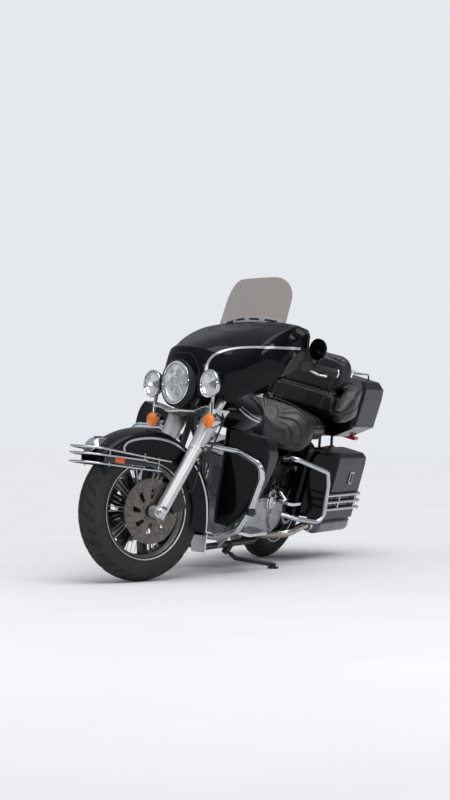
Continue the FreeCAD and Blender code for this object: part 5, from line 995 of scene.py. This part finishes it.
def muffler_trim():
    """Band clamp at the front of each muffler, a plated ring at its tail, and a dark disc down its outlet as
    painted shade.
    """
    bands, tips, outlet_painted_shade = [], [], []
    for side in (1, -1):
        spot = Vector((MUFFLER_FRONT, side * MUFFLER_OUT, MUFFLER_HEIGHT))
        bands.append(lathe([(25.8, 0), (28.4, 0.6), (28.4, 21.4), (25.8, 22)],
                           spot + Vector((-2, 0, 0)), BACKWARD, 40))
        bands.append(lathe([(0.01, 0), (5, 0), (5, 26), (4, 27), (0.01, 27)],
                           spot + Vector((-13, side * 13, -34)), Vector((0, 0, 1)), 14))
        end = Vector((MUFFLER_REAR, side * MUFFLER_OUT, MUFFLER_HEIGHT))
        tips.append(lathe([(44, -26), (46.8, -25), (47, -6), (41.6, 0.6), (23.4, 1), (23, 0), (40, -0.6),
                           (44, -6)], end, BACKWARD, 56))
        outlet_painted_shade.append(lathe([(0.01, -29.6), (22.4, -29.6), (22.4, -28.8), (0.01, -28.6)], end, BACKWARD, 32))
    put(joined(bands), "muffler_clamps", "chassis", CHROME, 40)
    put(joined(tips), "muffler_tips", "chassis", CHROME, 40)
    put(joined(outlet_painted_shade), "muffler_outlets", "chassis", DARK, 40)


def rotor_hole_shade():
    """Dark discs where the front rotors are cross-drilled: painted shade in place of the holes."""
    marks = []
    for side in (1, -1):
        y = side * 91.6
        for i in range(24):
            for k, radius in enumerate((112, 124, 136)):
                a = math.radians(15 * i + 4 * k)
                spot = FRONT_AXLE + Vector((math.cos(a) * radius, y, math.sin(a) * radius))
                marks.append(lathe([(0.01, 0), (2.6, 0), (2.6, 0.25), (0.01, 0.3)], spot,
                                   SIDEWAYS * side, 10))
    put(joined(marks), "front_rotor_holes", "front_wheel", DARK, 40)


def mirror_glass():
    """Silvered glass facing the rider in each mirror's shell."""
    skin = surface_of("mirrors", "front_end")
    spot = skin.ray_cast(MIRROR_CENTRE + BACKWARD * 200, FORWARD)[0]
    if spot:
        glass = lathe([(0.01, -1), (40, -1), (40, 1.2), (38, 2), (0.01, 2)], spot, BACKWARD, 48)
        pair(glass, "mirror_glass", "front_end", MIRROR, 30)


def dials():
    """Round gauges with bright rings on the inner fairing, facing the rider."""
    skin = surface_of("inner_fairing", "front_end")
    rings, faces, needles = [], [], []
    for y, z, radius in ((-62, 1092, 42), (62, 1092, 42), (-150, 1086, 24), (150, 1086, 24), (-112, 1040, 22),
                         (112, 1040, 22)):
        spot, normal, _, _ = skin.ray_cast(Vector((700, y, z)), FORWARD)
        if not spot:
            continue
        rings.append(lathe([(radius, -2), (radius + 5, -2), (radius + 5, 5), (radius + 2.5, 7), (radius, 4),
                            (radius, -2)], spot, normal, 40))
        faces.append(lathe([(0.01, 0), (radius, 0), (radius, 1.6), (0.01, 1.8)], spot, normal, 32))
        turned = facing(normal)
        blade = lathe([(0.01, 0), (1.2, 0), (0.6, radius * 0.7), (0.01, radius * 0.72)], spot + normal * 3,
                      turned @ Vector((0.5, 0.8, 0.0)), 8)
        needles.append(blade)
    if rings:
        put(joined(rings), "gauge_rings", "front_end", CHROME, 40)
        put(joined(faces), "gauge_faces", "front_end", DARK, 40)
        put(joined(needles), "gauge_needles", "front_end", STRIPE, 40)


# Cushions: taken from their solids, drawn in, blown up as cloth, then sewn

def swollen(pad, heights):
    """Moves each point along its normal by its own height in millimetres."""
    moved = [vertex.co + vertex.normal * (height * MM) for vertex, height in zip(pad.data.vertices, heights)]
    pad.data.vertices.foreach_set("co", [value for place in moved for value in place])
    pad.data.update()


def plump(node, name, stitched, voxel=5.5, swell=9.0):
    """Cushion of leather over foam. Its channels are sewn after it has been blown up."""
    take(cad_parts[node])
    bpy.ops.object.duplicate(linked=False)
    pad = bpy.context.object
    pad.parent = None
    pad.matrix_world = Matrix.Identity(4)
    take(pad)
    bpy.ops.object.mode_set(mode="EDIT")
    bpy.ops.mesh.select_all(action="SELECT")
    bpy.ops.mesh.remove_doubles(threshold=0.00005)
    bpy.ops.object.mode_set(mode="OBJECT")
    modify(pad, "REMESH", mode="VOXEL", voxel_size=voxel * MM)
    swollen(pad, [-swell * 0.55] * len(pad.data.vertices))
    modify(pad, "SMOOTH", factor=0.5, iterations=6)
    start = [vertex.co.copy() for vertex in pad.data.vertices]
    cloth = pad.modifiers.new("Cloth", "CLOTH")
    cloth.settings.quality = 5
    cloth.settings.use_pressure = True
    cloth.settings.uniform_pressure_force = 14
    cloth.settings.effector_weights.gravity = 0
    scene = bpy.context.scene
    for step in range(1, 15):
        scene.frame_set(step)
        bpy.context.view_layer.update()
    take(pad)
    bpy.ops.object.modifier_apply(modifier="Cloth")
    scene.frame_set(1)
    for vertex, before in zip(pad.data.vertices, start):
        moved = vertex.co - before
        if moved.length > swell * MM:
            vertex.co = before + moved.normalized() * swell * MM
    modify(pad, "SUBSURF", levels=1, render_levels=1)
    back = STANDING.inverted()
    turn = STANDING.to_3x3().normalized().inverted()
    swollen(pad, [stitched(back @ vertex.co, turn @ vertex.normal) for vertex in pad.data.vertices])
    take(pad)
    bpy.ops.object.shade_smooth()
    pad.name = name
    pad.data.name = name
    pad.data.materials.clear()
    pad.data.materials.append(LEATHER)
    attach(pad, "chassis")
    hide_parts(node)
    return pad


def channel(distance, width, depth):
    """Depth of a sewn channel at a distance from its seam."""
    return -depth * math.exp(-(distance / width) ** 2)


def creases(place, size, depth):
    """Irregular pulls in the hide."""
    return depth * (noise.noise(Vector(place) / size) - 0.25 * abs(noise.noise(Vector(place) / (size * 0.4))))


PLEATS = 13


def rider_stitching(p, n):
    """Pleats that fan from the middle of the seat to its raised rim, inside a ring seam."""
    along, across = p.x - 452, p.y
    reach = math.hypot(along, across)
    move = creases(p, 46, 1.6)
    if n.z > -0.15 and p.x < 520 and p.z > 670:
        angle = math.atan2(across, -along)
        step = math.radians(170) / PLEATS
        offset = (angle / step + 0.5) % 1.0 - 0.5
        if abs(angle) < math.radians(112):
            fade = min(1.0, max(0.0, (reach - 46) / 40)) * min(1.0, max(0.0, (246 - reach) / 22))
            move += channel(offset * step * reach, 4.6, 6.0) * fade
            move += 2.2 * math.cos(offset * math.pi) ** 2 * fade
            move += channel(reach - 58, 5, 3.0) * (1 if abs(angle) < math.radians(95) else 0)
    if n.z > 0.2 and p.x > 500:
        move += channel(p.x - 536, 5, 3.0)
    return move


def passenger_stitching(p, n):
    """Cross channels over the pillion, with a seam along each side."""
    move = creases(p, 60, 1.2)
    if n.z > 0.3:
        for x in (30, 100, 170, 240):
            move += channel(p.x - x - 0.0006 * p.y * p.y, 5, 4.0)
    move += channel(p.z - 756, 4, 2.5) if abs(p.y) > 120 else 0
    return move


def backrest_stitching(p, n):
    """Seam between the two tiers, seams of the arms, and folds that run down the wings."""
    move = creases(p, 70, 2.0)
    if abs(p.y) < 205:
        move += channel(p.z - 943 + 0.0003 * p.y * p.y, 7, 7.0)
        if n.x > 0.2:
            for y in (-132, 132):
                move += channel(p.y - y - 0.12 * (p.z - 1000), 6, 3.4)
            move += channel(p.z - 1122 + 0.0006 * p.y * p.y, 4.5, 2.6)
            move += channel(p.z - 838, 4.5, 2.6)
    else:
        sink = p.x * 0.45 + p.z - 960
        move += channel(sink, 5, 3.0)
        move += channel(p.x * 0.3 + p.z - 890, 5, 3.2)
    return move


SEAT_PIPING = [(448, 214, 652), (400, 232, 664), (370, 238, 690), (356, 243, 724), (351, 240, 760),
               (357, 226, 790), (358, 192, 822), (352, 144, 842), (346, 84, 854), (343, 0, 859)]


def piping(route, node, name, radius=2.6):
    """Corded welt laid along the cushion's edge."""
    skin = surface_of(node, "chassis")
    spots = []
    for place in evenly(route, 9):
        found, normal, _, _ = skin.find_nearest(place)
        spots.append(found + normal * 2.2)
    cordlike = pipe(spots, radius, resolution=3)
    put(cordlike, name, "chassis", LEATHER, 60)
    return cordlike


def seats():
    plump("rider_seat", "rider_cushion", rider_stitching, 5.0, 9.0)
    plump("passenger_seat", "passenger_cushion", passenger_stitching, 5.5, 8.0)
    plump("passenger_backrest", "backrest_cushion", backrest_stitching, 6.0, 9.0)
    whole = SEAT_PIPING + [(x, -y, z) for x, y, z in reversed(SEAT_PIPING[:-1])]
    piping(whole, "rider_seat", "seat_piping")


# Studio: pale floor and backdrop, a large overhead softbox and two side boxes

def studio():
    unselect()
    bpy.ops.mesh.primitive_plane_add(size=60, location=(0, 0, 0))
    floor = bpy.context.object
    floor.name = "studio_floor"
    material, tree = empty_material("pale_studio_floor")
    spot = add(tree, "ShaderNodeTexCoord").outputs["Object"]
    cloud = add(tree, "ShaderNodeTexNoise", None, {"Vector": spot, "Scale": 1.5, "Detail": 6.0})
    tint = add(tree, "ShaderNodeMix", {"data_type": "RGBA"},
               {"Factor": cloud.outputs["Fac"], 6: linear("dcdcdd"), 7: linear("e6e6e6")})
    close(tree, add(tree, "ShaderNodeBsdfPrincipled", None,
                    {"Base Color": tint.outputs[2], "Roughness": 0.9, "Specular IOR Level": 0.1}))
    floor.data.materials.append(material)

    world = bpy.data.worlds.new("studio")
    bpy.context.scene.world = world
    world.use_nodes = True
    tree = world.node_tree
    tree.nodes.clear()
    direction = add(tree, "ShaderNodeTexCoord").outputs["Generated"]
    height = add(tree, "ShaderNodeSeparateXYZ", None, {0: direction}).outputs["Z"]
    rise = add(tree, "ShaderNodeMapRange", None,
               {"Value": height, "From Min": 0.08, "From Max": 0.95, "To Min": 0.17, "To Max": 0.88})
    seen = add(tree, "ShaderNodeLightPath")
    straight = add(tree, "ShaderNodeMath", {"operation": "MAXIMUM"},
                   {0: seen.outputs["Is Camera Ray"], 1: seen.outputs["Is Transmission Ray"]})
    strength = add(tree, "ShaderNodeMix", {"data_type": "FLOAT"},
                   {"Factor": straight.outputs[0], 2: rise.outputs[0], 3: 0.92})
    glow = add(tree, "ShaderNodeBackground", None,
               {"Color": linear("eef1f6"), "Strength": strength.outputs[0]})
    add(tree, "ShaderNodeOutputWorld", None, {"Surface": glow.outputs[0]})

    data = bpy.data.lights.new("high_softbox", "SUN")
    data.energy = 1.75
    data.angle = math.radians(50)
    high = bpy.data.objects.new("high_softbox", data)
    high.rotation_mode = "QUATERNION"
    high.rotation_quaternion = Vector((-0.25, -0.3, -1)).to_track_quat("-Z", "Y")
    bpy.context.scene.collection.objects.link(high)

    for name, place, aim, size, power in (
            ("left_strip", (2.6, 4.2, 1.9), (0.2, 0, 0.6), (3.4, 0.5), 34),
            ("front_strip", (5.2, -0.8, 1.5), (0.4, 0, 0.6), (0.4, 1.6), 16)):
        data = bpy.data.lights.new(name, "AREA")
        data.shape = "RECTANGLE"
        data.size, data.size_y = size
        data.energy = power
        lamp = bpy.data.objects.new(name, data)
        lamp.location = place
        lamp.rotation_mode = "QUATERNION"
        lamp.rotation_quaternion = (Vector(aim) - Vector(place)).to_track_quat("-Z", "Y")
        bpy.context.scene.collection.objects.link(lamp)


def camera():
    """Low front three-quarter view from the rider's left, through a long lens."""
    data = bpy.data.cameras.new("camera")
    data.lens = 36 * 1814.36 / 800
    data.sensor_width = 36
    data.clip_end = 100
    eye = bpy.data.objects.new("camera", data)
    eye.location = middle("rear_tyre") + Vector((8.91078, 3.63137, 0.39809))
    yaw, rise = 3.55613, 0.013035
    toward = Vector((math.cos(yaw) * math.cos(rise), math.sin(yaw) * math.cos(rise), math.sin(rise)))
    eye.rotation_mode = "QUATERNION"
    eye.rotation_quaternion = toward.to_track_quat("-Z", "Y")
    bpy.context.scene.collection.objects.link(eye)
    bpy.context.scene.camera = eye


bpy.context.scene.view_settings.view_transform = "Standard"
camera()
studio()
headlamp()
spot_lamps()
turn_signals()
fairing_trim()
screen_strip()
fender_trim()
fork_trim()
wheel_trim(FRONT_AXLE, "front_wheel", "front")
wheel_trim(Vector((0, 0, TYRE_RADIUS)), "rear_wheel", "rear")
disc_bolts(FRONT_AXLE, "front_wheel", "front", (89.2, -89.2))
road_tyre("front_tyre", FRONT_AXLE, "front_wheel")
road_tyre("rear_tyre", Vector((0, 0, TYRE_RADIUS)), "rear_wheel")
body_lines()
luggage_trim()
rear_lamps()
guard_fittings()
engine_trim()
cylinder_trim()
grip_trim()
muffler_trim()
rotor_hole_shade()
mirror_glass()
dials()
seats()

bpy.context.view_layer.update()
